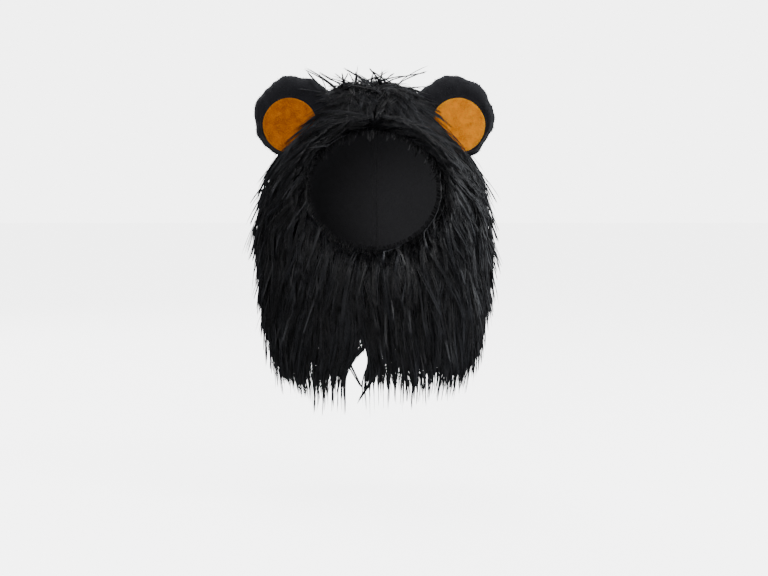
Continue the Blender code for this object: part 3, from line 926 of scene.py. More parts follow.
for side in (1, -1):
    cut_round("ear_room", EAR_RADIUS * ROOM_GROW, EAR_THICKNESS + ROOM_SLACK,
              ear_frame(side))
before_disc = Vector((0, HALF_EAR + VIEW_DEPTH / 2, 0))
view_middle = patch_middle(-1) + VIEW_SHIFT - before_disc
cut_round("disc_view", PATCH_RADIUS + VIEW_GROW, VIEW_DEPTH,
          ear_frame(-1) @ Matrix.Translation(view_middle))
bpy.data.objects.remove(hollow, do_unlink=True)
dress(under_fur, under_fur_finish, "black_fur", "mane")

# %% [markdown]
# ## Which way the fur lies
# The strands fall, but first they part on the crown and sweep away from the face hole.
# Round that hole the way they set off is read from a small table; further out gravity
# takes over. Hair could be combed by hand on curves, but a rule gives the same lie
# every time. A strand is drawn by stepping along that way, and it is laid back on the
# bell after each step.

# %% The lie of the fur
CROWN_PARTING = -0.003
PARTING_BLEND = 0.016
FACE_HOLD = 0.024
FRONT_DEPTHS = (0.004, 0.030)
CROWN_HEIGHTS = (0.070, 0.118)
RIM_ANGLES = (0, 8, 32, 56, 82, 110, 138, 165, 180)
RIM_AWAY = (0.75, 0.75, 0.60, 0.60, 0.60, 0.45, 0.30, 0.08, 0.0)
RIM_ROUND = (0.80, 1.00, 0.90, 0.70, 0.40, 0.10, 0.00, 0.00, 0.0)
RIM_DOWN = (0.0, 0.00, 0.00, 0.15, 0.40, 0.70, 0.90, 1.00, 1.0)


def eased(values, low, high):
    """0 up to low, 1 from high on, with a soft start and end."""
    share = np.clip((values - low) / (high - low), 0, 1)
    return share * share * (3 - 2 * share)


def face_reach(points):
    """1 on the edge of the face hole as seen from the front, and less inside it."""
    return np.hypot(points[..., 0] / (FACE_WIDTH / 2),
                    (points[..., 2] - FACE_MIDDLE) / (FACE_HEIGHT / 2))


def lie(points, outward):
    """The way that the fur lies at points of the bell."""
    x, z = points[..., 0], points[..., 2] - FACE_MIDDLE
    side = np.tanh((x - CROWN_PARTING) / PARTING_BLEND)
    angle = np.degrees(np.arctan2(np.abs(x), z))
    reach = np.maximum(np.hypot(x, z), 1e-4)
    away_x, away_z = x / reach, z / reach
    away, round_, down = (np.interp(angle, RIM_ANGLES, column)
                          for column in (RIM_AWAY, RIM_ROUND, RIM_DOWN))
    sweep = np.stack([away * away_x + round_ * np.sign(x) * np.abs(away_z),
                      np.zeros_like(x),
                      away * away_z - round_ * np.abs(away_x) - down], axis=-1)
    ahead = 1 - eased(points[..., 1], *FRONT_DEPTHS)
    beyond = np.maximum(face_reach(points) - 1, 0) * FACE_WIDTH / 2
    held = (ahead * np.exp(-beyond / FACE_HOLD))[..., None]
    crown = eased(points[..., 2], *CROWN_HEIGHTS)
    fall = np.stack([0.85 * side * crown + 0.10 * side, -0.10 * ahead * crown,
                     -1.0 + 0.25 * crown], axis=-1)
    way = held * unit(sweep) + (1 - held) * unit(fall)
    way -= (way * outward).sum(-1, keepdims=True) * outward
    return unit(way)


print("the fur parts on the crown at x =", CROWN_PARTING)

# %% Draw strands along the bell
STREAM_STEPS = 14
DRIFT_SHARE = 0.34


def drift(points):
    """A slow unevenness, so that neighbours lean the same way and locks cross."""
    x, y, z = (points[..., axis] * 100 for axis in range(3))
    return (np.sin(0.55 * x + 0.80 * z + 1.3) + np.sin(1.10 * x - 0.60 * z + 0.9 * y)
            + np.sin(1.70 * z - 0.9 * x + 2.1) + np.sin(2.3 * x + 1.2 * z + 1.1 * y)) / 4


def draw_streams(roots, lengths, wander, steer=None):
    """Paths along the bell from each root. Wander turns each a little sideways, and
    steer, where it is given, is a way of its own for each."""
    points = on_bell(roots, 3)
    path, outwards = [points], [unit(bell_slope(points))]
    step = (lengths / (STREAM_STEPS - 1))[:, None]
    for number in range(1, STREAM_STEPS):
        outward = outwards[-1]
        way = lie(path[-1], outward) if steer is None else steer
        across = np.cross(way, outward)
        calm = 0.30 + 0.70 * eased(path[-1][:, 2], -0.065, 0.005)
        lean = calm * (wander + DRIFT_SHARE * drift(path[-1]))
        way = unit(way + across * lean[:, None])
        points = on_bell(path[-1] + way * step, 2)
        path.append(points)
        outwards.append(unit(bell_slope(points)))
    return np.stack(path, axis=1), np.stack(outwards, axis=1)


print("points on each path:", STREAM_STEPS)

# %% [markdown]
# ## Roots
# The pile is tufted evenly. Its guides are sown at random, and any that would stand
# too close to another is dropped. Rows of their own grow on the slope round the face
# hole, where the bell itself is open.

# %% Sow the roots
SEED = 17
ROOT_SPACING = 0.0048
ROOT_TRIES = 60000
ROOT_LEVELS = (-0.015, 1.60)
BARE_DEPTH, BARE_REACH = 0.012, 1.20
chance = np.random.default_rng(SEED)


def sown(count, levels, spacing):
    """Points on the bell that keep a distance from each other."""
    azimuths = chance.uniform(0, 360, count)
    points = bell_points(azimuths, chance.uniform(*levels, count))
    cells, kept = {}, []
    near = [(a, b, c) for a in (-1, 0, 1) for b in (-1, 0, 1) for c in (-1, 0, 1)]
    for number, key in enumerate(map(tuple, np.floor(points / spacing).astype(int))):
        others = [other for a, b, c in near
                  for other in cells.get((key[0] + a, key[1] + b, key[2] + c), ())]
        gaps = points[others] - points[number]
        if len(others) and (gaps ** 2).sum(1).min() < spacing ** 2:
            continue
        cells.setdefault(key, []).append(number)
        kept.append(number)
    return points[kept]


roots = sown(ROOT_TRIES, ROOT_LEVELS, ROOT_SPACING)
facing = (roots[:, 1] < BARE_DEPTH) & (face_reach(roots) < BARE_REACH)
roots = roots[~facing]
print("roots:", len(roots))

# %% Rows round the face hole
RIM_COUNT = 84
RIM_DEPTHS = (-0.0008, -0.0050, -0.0100, -0.0150)
rim_roots = []
for number, depth in enumerate(RIM_DEPTHS):
    places = 2 * np.pi * (np.arange(RIM_COUNT) + 0.33 * number) / RIM_COUNT
    places += chance.uniform(-0.02, 0.02, RIM_COUNT)
    reach = np.interp(depth, CRATER_DEPTHS, CRATER_GROWS)
    rim_roots.append(face_oval(places, depth, reach))
rim_roots = np.concatenate(rim_roots)
print("roots round the face hole:", len(rim_roots))

# %% [markdown]
# ## Guides
# A guide is one lock of fur. The fur is long at the sides and under the throat and
# short on the crown. It ends at a hem that rises towards the corners and behind. Locks
# that meet an ear pass in front of it or behind it, and those in front end before they
# hide the felt. So each guide is drawn a little too long and then cut.

# %% Where the fur ends
HEM_HEIGHT = -0.0945
HEM_CORNER, HEM_CORNER_RISE, HEM_CORNER_POWER = 0.074, 0.025, 2.8
HEM_BACK_RISE = 0.017
BACK_SCOOP, SCOOP_PLACE, SCOOP_WIDTH = 0.010, -0.010, 0.022
HEM_DIP, DIP_PLACE, DIP_WIDTH = 0.004, -0.030, 0.016


def hem(points):
    """Where the fur ends below each point."""
    half, middle, depth = bell_section(points[..., 2])
    ahead = eased((middle - points[..., 1]) / depth, -0.35, 0.35)
    corner = (np.abs(points[..., 0]) / HEM_CORNER) ** HEM_CORNER_POWER
    dip = HEM_DIP * np.exp(-((points[..., 0] - DIP_PLACE) / DIP_WIDTH) ** 2)
    scoop = BACK_SCOOP * np.exp(-((points[..., 0] - SCOOP_PLACE) / SCOOP_WIDTH) ** 2)
    behind = (HEM_BACK_RISE + scoop) * (1 - ahead)
    return HEM_HEIGHT + HEM_CORNER_RISE * corner + behind - dip * ahead


def guide_lengths(points):
    """Long fur at the sides and under the throat, shorter on the crown and the brow."""
    crown = eased(points[:, 2], 0.075, 0.125)
    long = chance.uniform(0.050, 0.072, len(points))
    short = chance.uniform(0.032, 0.050, len(points))
    return long * (1 - crown) + short * crown


print("the hem lies", HEM_HEIGHT, "m from the throat axis in front")

# %% Keep strands off the ears and the face hole
EAR_CLEAR = 0.0012
EAR_PASS = 0.004
FACE_CLEAR = 0.95
FACE_DEPTH = 0.015
FELT_LINES = {1: 0.0035, -1: 0.0115}


def ear_places(points, side):
    """Points as seen from an ear: beside its middle, behind it and above it."""
    into = np.array(ear_frame(side).inverted())
    moved = points - CROWN
    return moved @ into[:3, :3].T + into[:3, 3]


def past_ears(points, ahead):
    """Points inside an ear moved in front of it or behind it."""
    for side in (1, -1):
        local = ear_places(points, side)
        reach = np.hypot(local[..., 0], local[..., 2])
        near = 1 - eased(reach, EAR_RADIUS, EAR_RADIUS + EAR_PASS)
        wall = (HALF_EAR + EAR_CLEAR) * near
        target = np.where(ahead[:, None], np.minimum(local[..., 1], -wall),
                          np.maximum(local[..., 1], wall))
        moved = np.where(near > 0, target, local[..., 1])
        back = np.array(ear_frame(side))[:3, :3]
        points = points + (moved - local[..., 1])[..., None] * back[:, 1]
    return points


def past_face(points):
    """Points that would hang in front of the face hole moved out to its edge."""
    reach = face_reach(points)
    ahead = points[..., 1] < FACE_DEPTH
    grow = np.where(ahead & (reach < FACE_CLEAR), FACE_CLEAR / np.maximum(reach, 0.3), 1)
    moved = points.copy()
    moved[..., 0] *= grow
    moved[..., 2] = FACE_MIDDLE + (points[..., 2] - FACE_MIDDLE) * grow
    return moved


def felt_hidden(points):
    """How far a point in front of an ear lies past the line where the fur ends."""
    hidden = np.full(points.shape[:2], -1.0)
    for side in (1, -1):
        local = ear_places(points, side)
        reach = np.hypot(local[..., 0], local[..., 2])
        slanted = (side * local[..., 0] + local[..., 2]) / math.sqrt(2)
        here = (reach < EAR_RADIUS) & (local[..., 1] < 0)
        hidden = np.where(here, np.maximum(hidden, slanted + FELT_LINES[side]), hidden)
    return hidden


print("clear of each ear by", EAR_CLEAR, "m")

# %% Cut the guides to length
POINTS = 7
HEM_SLACK, HEM_UNEVEN = 0.005, 0.016


def first_past(values):
    """Where along each path a value first rises over 0, in steps; the end if never."""
    over = values > 0
    last = values.shape[1] - 1
    first = np.where(over.any(1), over.argmax(1), last)
    return first.astype(float)


def cut_guides(path, outwards, shortest, above=0.0):
    """Paths cut a little unevenly at the hem, or some way above it, and at the felt."""
    uneven = chance.uniform(0, 1, len(path))[:, None]
    low = path[..., 2] - hem(path) - above + HEM_SLACK - HEM_UNEVEN * uneven ** 2
    ends = np.minimum(first_past(-low), first_past(felt_hidden(path)))
    span = np.linalg.norm(np.diff(path, axis=1), axis=-1).mean(1)
    keep = ends * span > shortest
    path, outwards, ends = path[keep], outwards[keep], ends[keep]
    places = ends[:, None] * np.linspace(0, 1, POINTS)
    low_step = np.minimum(places.astype(int), STREAM_STEPS - 2)
    share = (places - low_step)[..., None]
    rows = np.arange(len(path))[:, None]
    cut = path[rows, low_step] * (1 - share) + path[rows, low_step + 1] * share
    out = outwards[rows, low_step] * (1 - share) + outwards[rows, low_step + 1] * share
    return cut, unit(out), keep


def guides_from(roots, lengths, wander, shortest, steer=None, above=0.0):
    """Guides from roots; lengths has one for each, or a low and a high limit."""
    if isinstance(lengths, tuple):
        lengths = chance.uniform(*lengths, len(roots))
    turns = chance.normal(0, wander, len(roots))
    path, outwards = draw_streams(roots, lengths, turns, steer)
    return cut_guides(path, outwards, shortest, above)


def stood_off(guides, outwards, low, high, curve):
    """Guides that leave the bell towards their tips, each to a height of its own."""
    rises = np.linspace(0, 1, POINTS) ** curve
    heights = chance.uniform(low, high, (len(guides), 1))
    return guides + outwards * (heights * rises)[..., None]


def sunk(guides, outwards, low, high):
    """Guides moved into the fur, each to a depth of its own."""
    return guides - outwards * chance.uniform(low, high, len(guides))[:, None, None]


print("points on each guide:", POINTS)

# %% [markdown]
# ## The parting under the throat
# In front the hem opens into a narrow upside-down V, where the fur of the two sides
# falls apart. A table says where its middle lies and how wide it is at each height,
# and strands inside it are moved to the side that their tips are on.

# %% Part the front
PARTING_HEIGHTS = (-0.100, -0.077, -0.068, -0.060, -0.0515)
PARTING_MIDDLES = (-0.0135, -0.0143, -0.0120, -0.0063, -0.0030)
PARTING_HALVES = (0.0062, 0.0055, 0.0068, 0.0032, 0.0)
PARTING_TOP, PARTING_LOW = -0.040, -0.062
PARTING_FADE = 0.013


def parted(points):
    """Points of the front hem moved away from the parting."""
    low = 1 - eased(points[..., 2], PARTING_LOW, PARTING_TOP)
    ahead = 1 - eased(points[..., 1], 0.0, 0.03)
    off = points[..., 0] - np.interp(points[..., 2], PARTING_HEIGHTS, PARTING_MIDDLES)
    open_half = np.interp(points[..., 2], PARTING_HEIGHTS, PARTING_HALVES)
    side = np.sign(off[:, -1:] + off[:, -3:-2])
    near = np.exp(-np.maximum(off * side, 0) / PARTING_FADE)
    move = side * (open_half + np.maximum(-off * side, 0)) * near * low * ahead
    moved = points.copy()
    moved[..., 0] += move
    return moved


print("widest half of the parting:", max(PARTING_HALVES))

# %% [markdown]
# ## Strands
# Five to nine strands grow round a guide in most places and come together at its tip,
# as combed fur does, which gives the pointed wisps of the hem. A few stray ones lift
# off. Some locks stand proud of the others, and each has a slow wave of its own.

# %% Grow strands round the guides
MILLIMETRE = 0.001
ROOT_DEPTH = 0.0065
CHILD_SPREAD = 0.0046
CLUMPED, CLUMP_CURVE = 0.90, 1.8
PROUD_SHARE, PROUD_TIPS = 0.30, (1.5, 5.0)
FLAT_TIP, FLAT_SCATTER, OWN_SCATTER = -0.4, 0.9, 0.30
RISE_PLACES, RISES = (0, 0.20, 0.55, 1), (-1, -0.16, 0.20, 0.24)
WAVE_REACH = 0.055
STRAY_SHARE, STRAY_SPREAD, STRAY_TIPS = 0.06, 0.8, (0.5, 4.0)
BULGE_PEAK = 0.105


def grow_strands(guides, outwards, children, spread, start=None, lift=0.0013,
                 inward=None):
    """Strands round each guide: their points, the way out at each, and a tone."""
    count = len(guides) * children
    along = np.linspace(0, 1, POINTS)
    line = np.repeat(guides, children, axis=0)
    out = np.repeat(outwards, children, axis=0)
    onward = unit(np.gradient(line, axis=1))
    across = unit(np.cross(onward, out))

    # Each strand keeps to a place round its guide, and most draw in towards the tip
    angle = chance.uniform(0, 2 * np.pi, count)
    reach = spread * np.sqrt(chance.uniform(0, 1, count))
    stray = chance.uniform(0, 1, count) < STRAY_SHARE
    close = np.where(stray[:, None], 1 + STRAY_SPREAD * along,
                     1 - CLUMPED * along ** CLUMP_CURVE)
    sideways = (reach * np.cos(angle))[:, None] * close
    forward = (reach * np.sin(angle))[:, None] * close

    # The root lies deep in the pile and the tip on the bell or a little off it
    proud = chance.uniform(0, 1, len(guides)) < PROUD_SHARE
    lock_tip = np.where(proud, chance.uniform(*PROUD_TIPS, len(guides)),
                        chance.normal(FLAT_TIP, FLAT_SCATTER, len(guides)))
    lock_tip = np.repeat(lock_tip, children)
    own_tip = chance.normal(0, OWN_SCATTER, count)
    full = 1 - 0.75 * eased(line[..., 2], 0.085, 0.118)
    rise = np.interp(along, RISE_PLACES, RISES)
    rise = np.where(rise > 0, rise * full, rise) * ROOT_DEPTH
    tip_rise = (lock_tip + own_tip)[:, None] * lift * along ** 1.3
    stray_rise = np.where(stray, chance.uniform(*STRAY_TIPS, count), 0)
    tip_rise += stray_rise[:, None] * MILLIMETRE * along

    # A strand curls a little by itself, and a whole lock has one slow wave
    phase = chance.uniform(0, 2 * np.pi, (2, count, 1))
    curl = chance.uniform(0.2, 0.9, (count, 1)) * 0.0010 * along
    swing = curl * np.sin(phase[0] + 5.0 * along)
    reaches = np.linalg.norm(np.diff(guides, axis=1), axis=-1).sum(1)[:, None]
    wave = chance.uniform(0.3, 1.5, (len(guides), 1)) * (reaches / WAVE_REACH) ** 1.5
    wave = np.repeat(wave, children, axis=0)
    bend = np.repeat(chance.uniform(0, 2 * np.pi, (len(guides), 1)), children, axis=0)
    calm = 0.30 + 0.70 * eased(line[:, -1:, 2], -0.090, -0.030)
    swing = calm * (swing + MILLIMETRE * wave * along * np.sin(bend + 5.5 * along))
    bob = 0.5 * curl * np.sin(phase[1] + 6.0 * along)
    line = line + across * (sideways + swing)[..., None] + onward * forward[..., None]
    line = line + out * (rise + tip_rise + bob)[..., None]

    # Strands with a foot of their own set off from it, and may bulge on their way
    if start is not None:
        first = np.repeat(start, children, axis=0) + across[:, 0] * sideways[:, :1] * 0.5
        line += (first - line[:, 0])[:, None] * ((1 - along) ** 2.0)[:, None]
    if inward is not None:
        bulge = along * (1 - along) ** 3 / BULGE_PEAK
        line += np.repeat(inward, children, axis=0)[:, None] * bulge[:, None]
    tone = np.repeat(chance.uniform(0, 1, len(guides)) ** 2.0, children)
    tone = np.clip(0.55 * tone + 0.45 * chance.uniform(0, 1, count) ** 2.2, 0, 1)
    return line, out, tone


print("share of stray strands:", STRAY_SHARE)

# %% [markdown]
# ## Wisps
# Near the hem the fur gathers into wisps a few millimetres wide, with points between
# which the light falls. The way round the bell is divided into cells of uneven width,
# and the strands that end in one cell are drawn towards its middle.

# %% Gather the hem into wisps
WISP_SEED = 8
WISP_WIDTH = 0.0058
WISP_PULL = 0.80
WISP_REACH = 0.037
WISP_POINT = 0.0025
WISP_RISE = 0.007
WISP_COUNT = 96
wisp_chance = np.random.default_rng(WISP_SEED)
wisp_edges = np.cumsum(WISP_WIDTH * wisp_chance.uniform(0.45, 1.6, WISP_COUNT))
wisp_edges -= wisp_edges[WISP_COUNT // 2]
wisp_rises = WISP_RISE * wisp_chance.uniform(0, 1, WISP_COUNT) ** 2.2


def fringed(points):
    """Strands near the hem drawn towards the middle of the wisp that they end in."""
    half, middle, depth = bell_section(points[..., 2])
    azimuth = np.arctan2(points[..., 0], middle - points[..., 1])
    turned = azimuth - azimuth[:, -1:]
    around = (azimuth[:, -1:] + np.arctan2(np.sin(turned), np.cos(turned)))
    around = around * MANE_HALF_WIDTH
    cell = np.clip(np.searchsorted(wisp_edges, around[:, -1:]), 1, WISP_COUNT - 1)
    centre = (wisp_edges[cell - 1] + wisp_edges[cell]) / 2
    half_wisp = (wisp_edges[cell] - wisp_edges[cell - 1]) / 2
    low = 1 - eased(points[..., 2] - hem(points), 0.0, WISP_REACH)
    ahead = eased((middle - points[..., 1]) / depth, -0.35, 0.45)
    pull = WISP_PULL * (0.55 + 0.45 * ahead) * low
    move = np.clip(centre - around, -WISP_WIDTH, WISP_WIDTH) * pull
    beside = np.minimum(np.abs(centre - around[:, -1:]) / half_wisp, 1)
    lift = low ** 2 * (wisp_rises[cell] + WISP_POINT * beside ** 1.5)
    shift = np.stack([move * np.cos(azimuth), move * np.sin(azimuth), lift], axis=-1)
    return points + shift


print("wisps:", WISP_COUNT)

# %% [markdown]
# ## From lines to hair
# A strand is a thin tube with three sides that tapers to a point. All strands of one
# region are written into a single mesh straight from arrays, because adding them one
# by one would take far too long.

# %% Build one mesh of strands
TAPER_PLACES, TAPERS = (0, 0.15, 0.65, 0.85, 1), (0.75, 1, 0.95, 0.74, 0)


def tube_faces(rings):
    """The corners of one tube's faces in turn, and how many corners each face has."""
    loops, sizes = [0, 1, 2], [3]
    for ring in range(rings - 1):
        for corner in range(3):
            after = (corner + 1) % 3
            loops += [ring * 3 + corner, ring * 3 + 3 + corner,
                      ring * 3 + 3 + after, ring * 3 + after]
            sizes.append(4)
    for corner in range(3):
        loops += [(rings - 1) * 3 + corner, rings * 3, (rings - 1) * 3 + (corner + 1) % 3]
        sizes.append(3)
    return np.array(loops), np.array(sizes)


def strand_mesh(name, lines, out, tone, thickness):
    """A mesh of tapered three-sided tubes along lines."""
    count, steps = lines.shape[:2]
    rings = steps - 1
    onward = unit(np.gradient(lines, axis=1))
    across = unit(np.cross(onward, out))
    upward = np.cross(across, onward)
    along = np.linspace(0, 1, steps)
    radius = thickness[:, None] * np.interp(along, TAPER_PLACES, TAPERS)
    corners = []
    for corner in range(3):
        angle = 2 * np.pi * corner / 3
        corners.append(lines + radius[..., None] * (across * math.cos(angle)
                                                    + upward * math.sin(angle)))
    tubes = np.stack(corners, axis=2)[:, :rings].reshape(count, rings * 3, 3)
    verts = np.concatenate([tubes, lines[:, -1:]], axis=1) - CROWN
    per = rings * 3 + 1
    loops, sizes = tube_faces(rings)
    all_loops = (loops[None] + per * np.arange(count)[:, None]).ravel()
    all_sizes = np.tile(sizes, count)
    starts = np.concatenate([[0], np.cumsum(all_sizes)[:-1]])
    mesh = bpy.data.meshes.new(name)
    mesh.vertices.add(count * per)
    mesh.vertices.foreach_set("co", verts.astype(np.float32).ravel())
    mesh.loops.add(len(all_loops))
    mesh.loops.foreach_set("vertex_index", all_loops.astype(np.int32))
    mesh.polygons.add(len(all_sizes))
    mesh.polygons.foreach_set("loop_start", starts.astype(np.int32))
    mesh.update(calc_edges=True)
    places = np.append(np.repeat(along[:rings], 3), 1.0)
    for attribute, values in (("tone", np.repeat(tone, per)),
                              ("along", np.tile(places, count))):
        layer = mesh.attributes.new(attribute, 'FLOAT', 'POINT')
        layer.data.foreach_set("value", values.astype(np.float32))
    mesh.shade_smooth()
    piece = bpy.data.objects.new(name, mesh)
    bpy.context.scene.collection.objects.link(piece)
    return piece


# Two for each side of each ring but the last, one at the foot and three at the tip
STRAND_TRIANGLES = 6 * (POINTS - 2) + 1 + 3
print("triangles in a strand of", POINTS, "points:", STRAND_TRIANGLES)

# %% Grow the main fur
MAIN_CHILDREN = 8
kept_strands = []


def keep_strands(lines, out, tone, stout):
    """Put strands by for the meshes that are made at the end."""
    kept_strands.append((lines, out, tone, np.full(len(lines), stout)))


def add_strands(lines, out, tone, hold_ears=True, gathered=True, stout=1.0):
    """Lead strands past the ears and the face hole, gather and part them, keep them."""
    if hold_ears:
        ahead = np.zeros(len(lines))
        for side in (1, -1):
            local = ear_places(lines, side)
            reach = np.hypot(local[..., 0], local[..., 2])
            near = reach < EAR_RADIUS + 0.002
            ahead += np.where(near, local[..., 1], 0).sum(1)
        lines = past_face(past_ears(lines, ahead < 0))
    keep_strands(parted(fringed(lines) if gathered else lines), out, tone, stout)


guides, outwards, keep = guides_from(roots, guide_lengths(roots), wander=0.16,
                                     shortest=0.018)
add_strands(*grow_strands(guides, outwards, MAIN_CHILDREN, CHILD_SPREAD))
print("guides:", len(guides))

# %% [markdown]
# ## Fur round the face hole
# Round the face hole the pile grows out of the turned edge, stands up a little and
# then lies back. Its feet are on the slope inside the bell and its tips on the bell,
# and the strands bulge towards the hole on their way. A row of short lashes hides the
# edge itself.

# %% Grow the rows round the face hole
RIM_SPREAD_OUT = 1.10
RIM_CHILDREN, RIM_CHILD_SPREAD = 8, 0.0030


def bell_front(across, heights):
    """How far forward the bell reaches at a place across it, at some heights."""
    half, middle, depth = bell_section(heights)
    share = np.clip(np.abs(across) / half, 0, 0.97)
    return middle - depth * (1 - share ** MANE_SQUARENESS) ** (1 / MANE_SQUARENESS)


rim_lengths = chance.uniform(0.034, 0.052, len(rim_roots))
ahead_roots = rim_roots.copy()
ahead_roots[:, 0] *= RIM_SPREAD_OUT
ahead_roots[:, 2] = FACE_MIDDLE + (ahead_roots[:, 2] - FACE_MIDDLE) * RIM_SPREAD_OUT
ahead_roots[:, 1] = bell_front(ahead_roots[:, 0], ahead_roots[:, 2])
guides, outwards, keep = guides_from(ahead_roots, rim_lengths, wander=0.22,
                                     shortest=0.015)
below_face = eased(FACE_MIDDLE - rim_roots[:, 2], -0.010, 0.030)
towards_face = np.stack([-rim_roots[:, 0], -0.012 - 0.022 * below_face,
                         FACE_MIDDLE - rim_roots[:, 2]], axis=-1)
bulges = chance.uniform(0.0010, 0.0048, len(rim_roots)) * (1 + 0.7 * below_face)
towards_face = unit(towards_face) * bulges[:, None]
add_strands(*grow_strands(guides, outwards, RIM_CHILDREN, RIM_CHILD_SPREAD,
                          start=rim_roots[keep], inward=towards_face[keep]))
print("guides round the face hole:", len(guides))

# %% Lashes over the edge
LASH_COUNT = 150
LASH_CHILDREN, LASH_SPREAD = 6, 0.0013
LASH_GROW = 0.0012
LASH_DROOP = 0.0025
# The lashes keep a quarter of their tone: painted shade round the edge of the face hole.
LASH_PAINTED_SHADE = 0.25
places = np.arange(LASH_COUNT) + chance.uniform(0, 1, LASH_COUNT)
places = 2 * np.pi * places / LASH_COUNT
rim_out = np.stack([np.sin(places), np.zeros(LASH_COUNT), np.cos(places)], axis=-1)
lash_foot = face_oval(places, chance.uniform(-0.006, -0.001, LASH_COUNT), LASH_GROW)
lash_way = -rim_out * chance.uniform(0.15, 0.75, (LASH_COUNT, 1))
lash_way[:, 0] += chance.normal(0, 0.20, LASH_COUNT)
lash_way[:, 1] -= chance.uniform(0.45, 0.95, LASH_COUNT)
lash_way[:, 2] -= chance.uniform(0.30, 0.75, LASH_COUNT)
lash_length = chance.uniform(0.008, 0.015, (LASH_COUNT, 1, 1))
along = np.linspace(0, 1, POINTS)[:, None]
lashes = lash_foot[:, None] + unit(lash_way)[:, None] * lash_length * along
lashes[..., 2] -= LASH_DROOP * along[:, 0] ** 2
lash_out = np.repeat(rim_out[:, None], POINTS, axis=1)
lashes, lash_out, lash_tone = grow_strands(lashes, lash_out, LASH_CHILDREN,
                                           LASH_SPREAD, lift=0.0002)
add_strands(lashes, lash_out, LASH_PAINTED_SHADE * lash_tone, hold_ears=False)
print("lashes:", LASH_COUNT)

# %% [markdown]
# ## The crown
# On top the fur is short and tousled. A forelock is combed forwards over the brow, a
# tuft between the ears points every way and stands up, and locks beside the ears lie
# outwards over their seams. Each is a patch of guides with a way of its own.

# %% The forelock, the tuft and the locks beside the ears
FORELOCK_COUNT, TUFT_COUNT, SHOULDER_COUNT = 90, 120, 56
CROWN_SHORTEST = 0.010


def sown_patch(count, azimuths, levels):
    """Roots in one patch of the bell."""
    azimuths = chance.uniform(*azimuths, count)
    return bell_points(azimuths, chance.uniform(*levels, count))


forelock = sown_patch(FORELOCK_COUNT, (-62, 62), (0.0, 0.075))
steer = unit(np.stack([chance.normal(0, 0.55, FORELOCK_COUNT),
                       np.full(FORELOCK_COUNT, -0.2),
                       np.full(FORELOCK_COUNT, -1.0)], axis=-1))
guides, outwards, keep = guides_from(forelock, (0.018, 0.030), 0.10, CROWN_SHORTEST,
                                     steer)
add_strands(*grow_strands(guides, outwards, 9, 0.0038, lift=0.0012))

tuft = sown_patch(TUFT_COUNT, (0, 360), (-0.018, 0.06))
steer = unit(np.stack([chance.normal(0, 1.0, TUFT_COUNT),
                       chance.normal(-0.1, 0.6, TUFT_COUNT),
                       np.full(TUFT_COUNT, -0.1)], axis=-1))
guides, outwards, keep = guides_from(tuft, (0.018, 0.032), 0.2, CROWN_SHORTEST, steer)
guides = stood_off(guides, outwards, 0.0, 0.0045, curve=1.4)
add_strands(*grow_strands(guides, outwards, 8, 0.0034, lift=0.0010))
print("forelock and tuft:", len(forelock) + len(tuft))

for side in (1, -1):
    azimuths = side * chance.uniform(48, 128, SHOULDER_COUNT)
    shoulder = bell_points(azimuths, chance.uniform(0.0, 0.085, SHOULDER_COUNT))
    steer = unit(np.stack([np.full(SHOULDER_COUNT, float(side)),
                           chance.normal(-0.1, 0.45, SHOULDER_COUNT),
                           np.full(SHOULDER_COUNT, -0.15)], axis=-1))
    guides, outwards, keep = guides_from(shoulder, (0.018, 0.030), 0.15,
                                         CROWN_SHORTEST, steer)
    guides = stood_off(guides, outwards, 0.0030, 0.0085, curve=1.3)
    add_strands(*grow_strands(guides, outwards, 8, 0.0032, lift=0.0006))
print("locks beside the ears:", 2 * SHOULDER_COUNT)

# %% [markdown]
# ## The hem
# Between the wisps of a real hem more fur shows behind them, darker and shorter. It
# is grown as a curtain inside the bell that ends above the tips. Stouter locks in the
# hem itself then make the wisps full, most of them in front.

# %% Fur behind the hem
INNER_COUNT = 430
INNER_RISE = 0.0125
INNER_FRONT_SHARE = 0.6
inner_azimuths = np.where(chance.uniform(0, 1, INNER_COUNT) < INNER_FRONT_SHARE,
                          chance.uniform(-95, 95, INNER_COUNT),
                          chance.uniform(95, 265, INNER_COUNT))
inner_roots = bell_points(inner_azimuths, chance.uniform(1.15, 1.50, INNER_COUNT))
guides, outwards, keep = guides_from(inner_roots, (0.045, 0.060), wander=0.12,
                                     shortest=0.014, above=INNER_RISE)
guides = sunk(guides, outwards, 0.003, 0.009)
add_strands(*grow_strands(guides, outwards, 5, 0.0060), gathered=False)
print("guides behind the hem:", len(guides))

# %% A fuller hem
HEM_COUNT = 240
HEM_SCATTER = 62
HEM_STOUT = 1.3
hem_azimuths = chance.normal(0, HEM_SCATTER, HEM_COUNT)
hem_roots = bell_points(hem_azimuths, chance.uniform(1.12, 1.58, HEM_COUNT))
guides, outwards, keep = guides_from(hem_roots, (0.052, 0.066), wander=0.08,
                                     shortest=0.018)
guides = sunk(guides, outwards, 0.0, 0.0035)
add_strands(*grow_strands(guides, outwards, 5, 0.0036), stout=HEM_STOUT)
print("guides in the hem:", len(guides))

# %% [markdown]
# ## Single locks that break the outline
# A few things keep fur from looking like a smooth ball: pointed locks that stand off
# its sides, some wisps that stray across the parting, and loose hairs on the crown.
# They are few, so each kind gets stouter strands that show against the light behind.

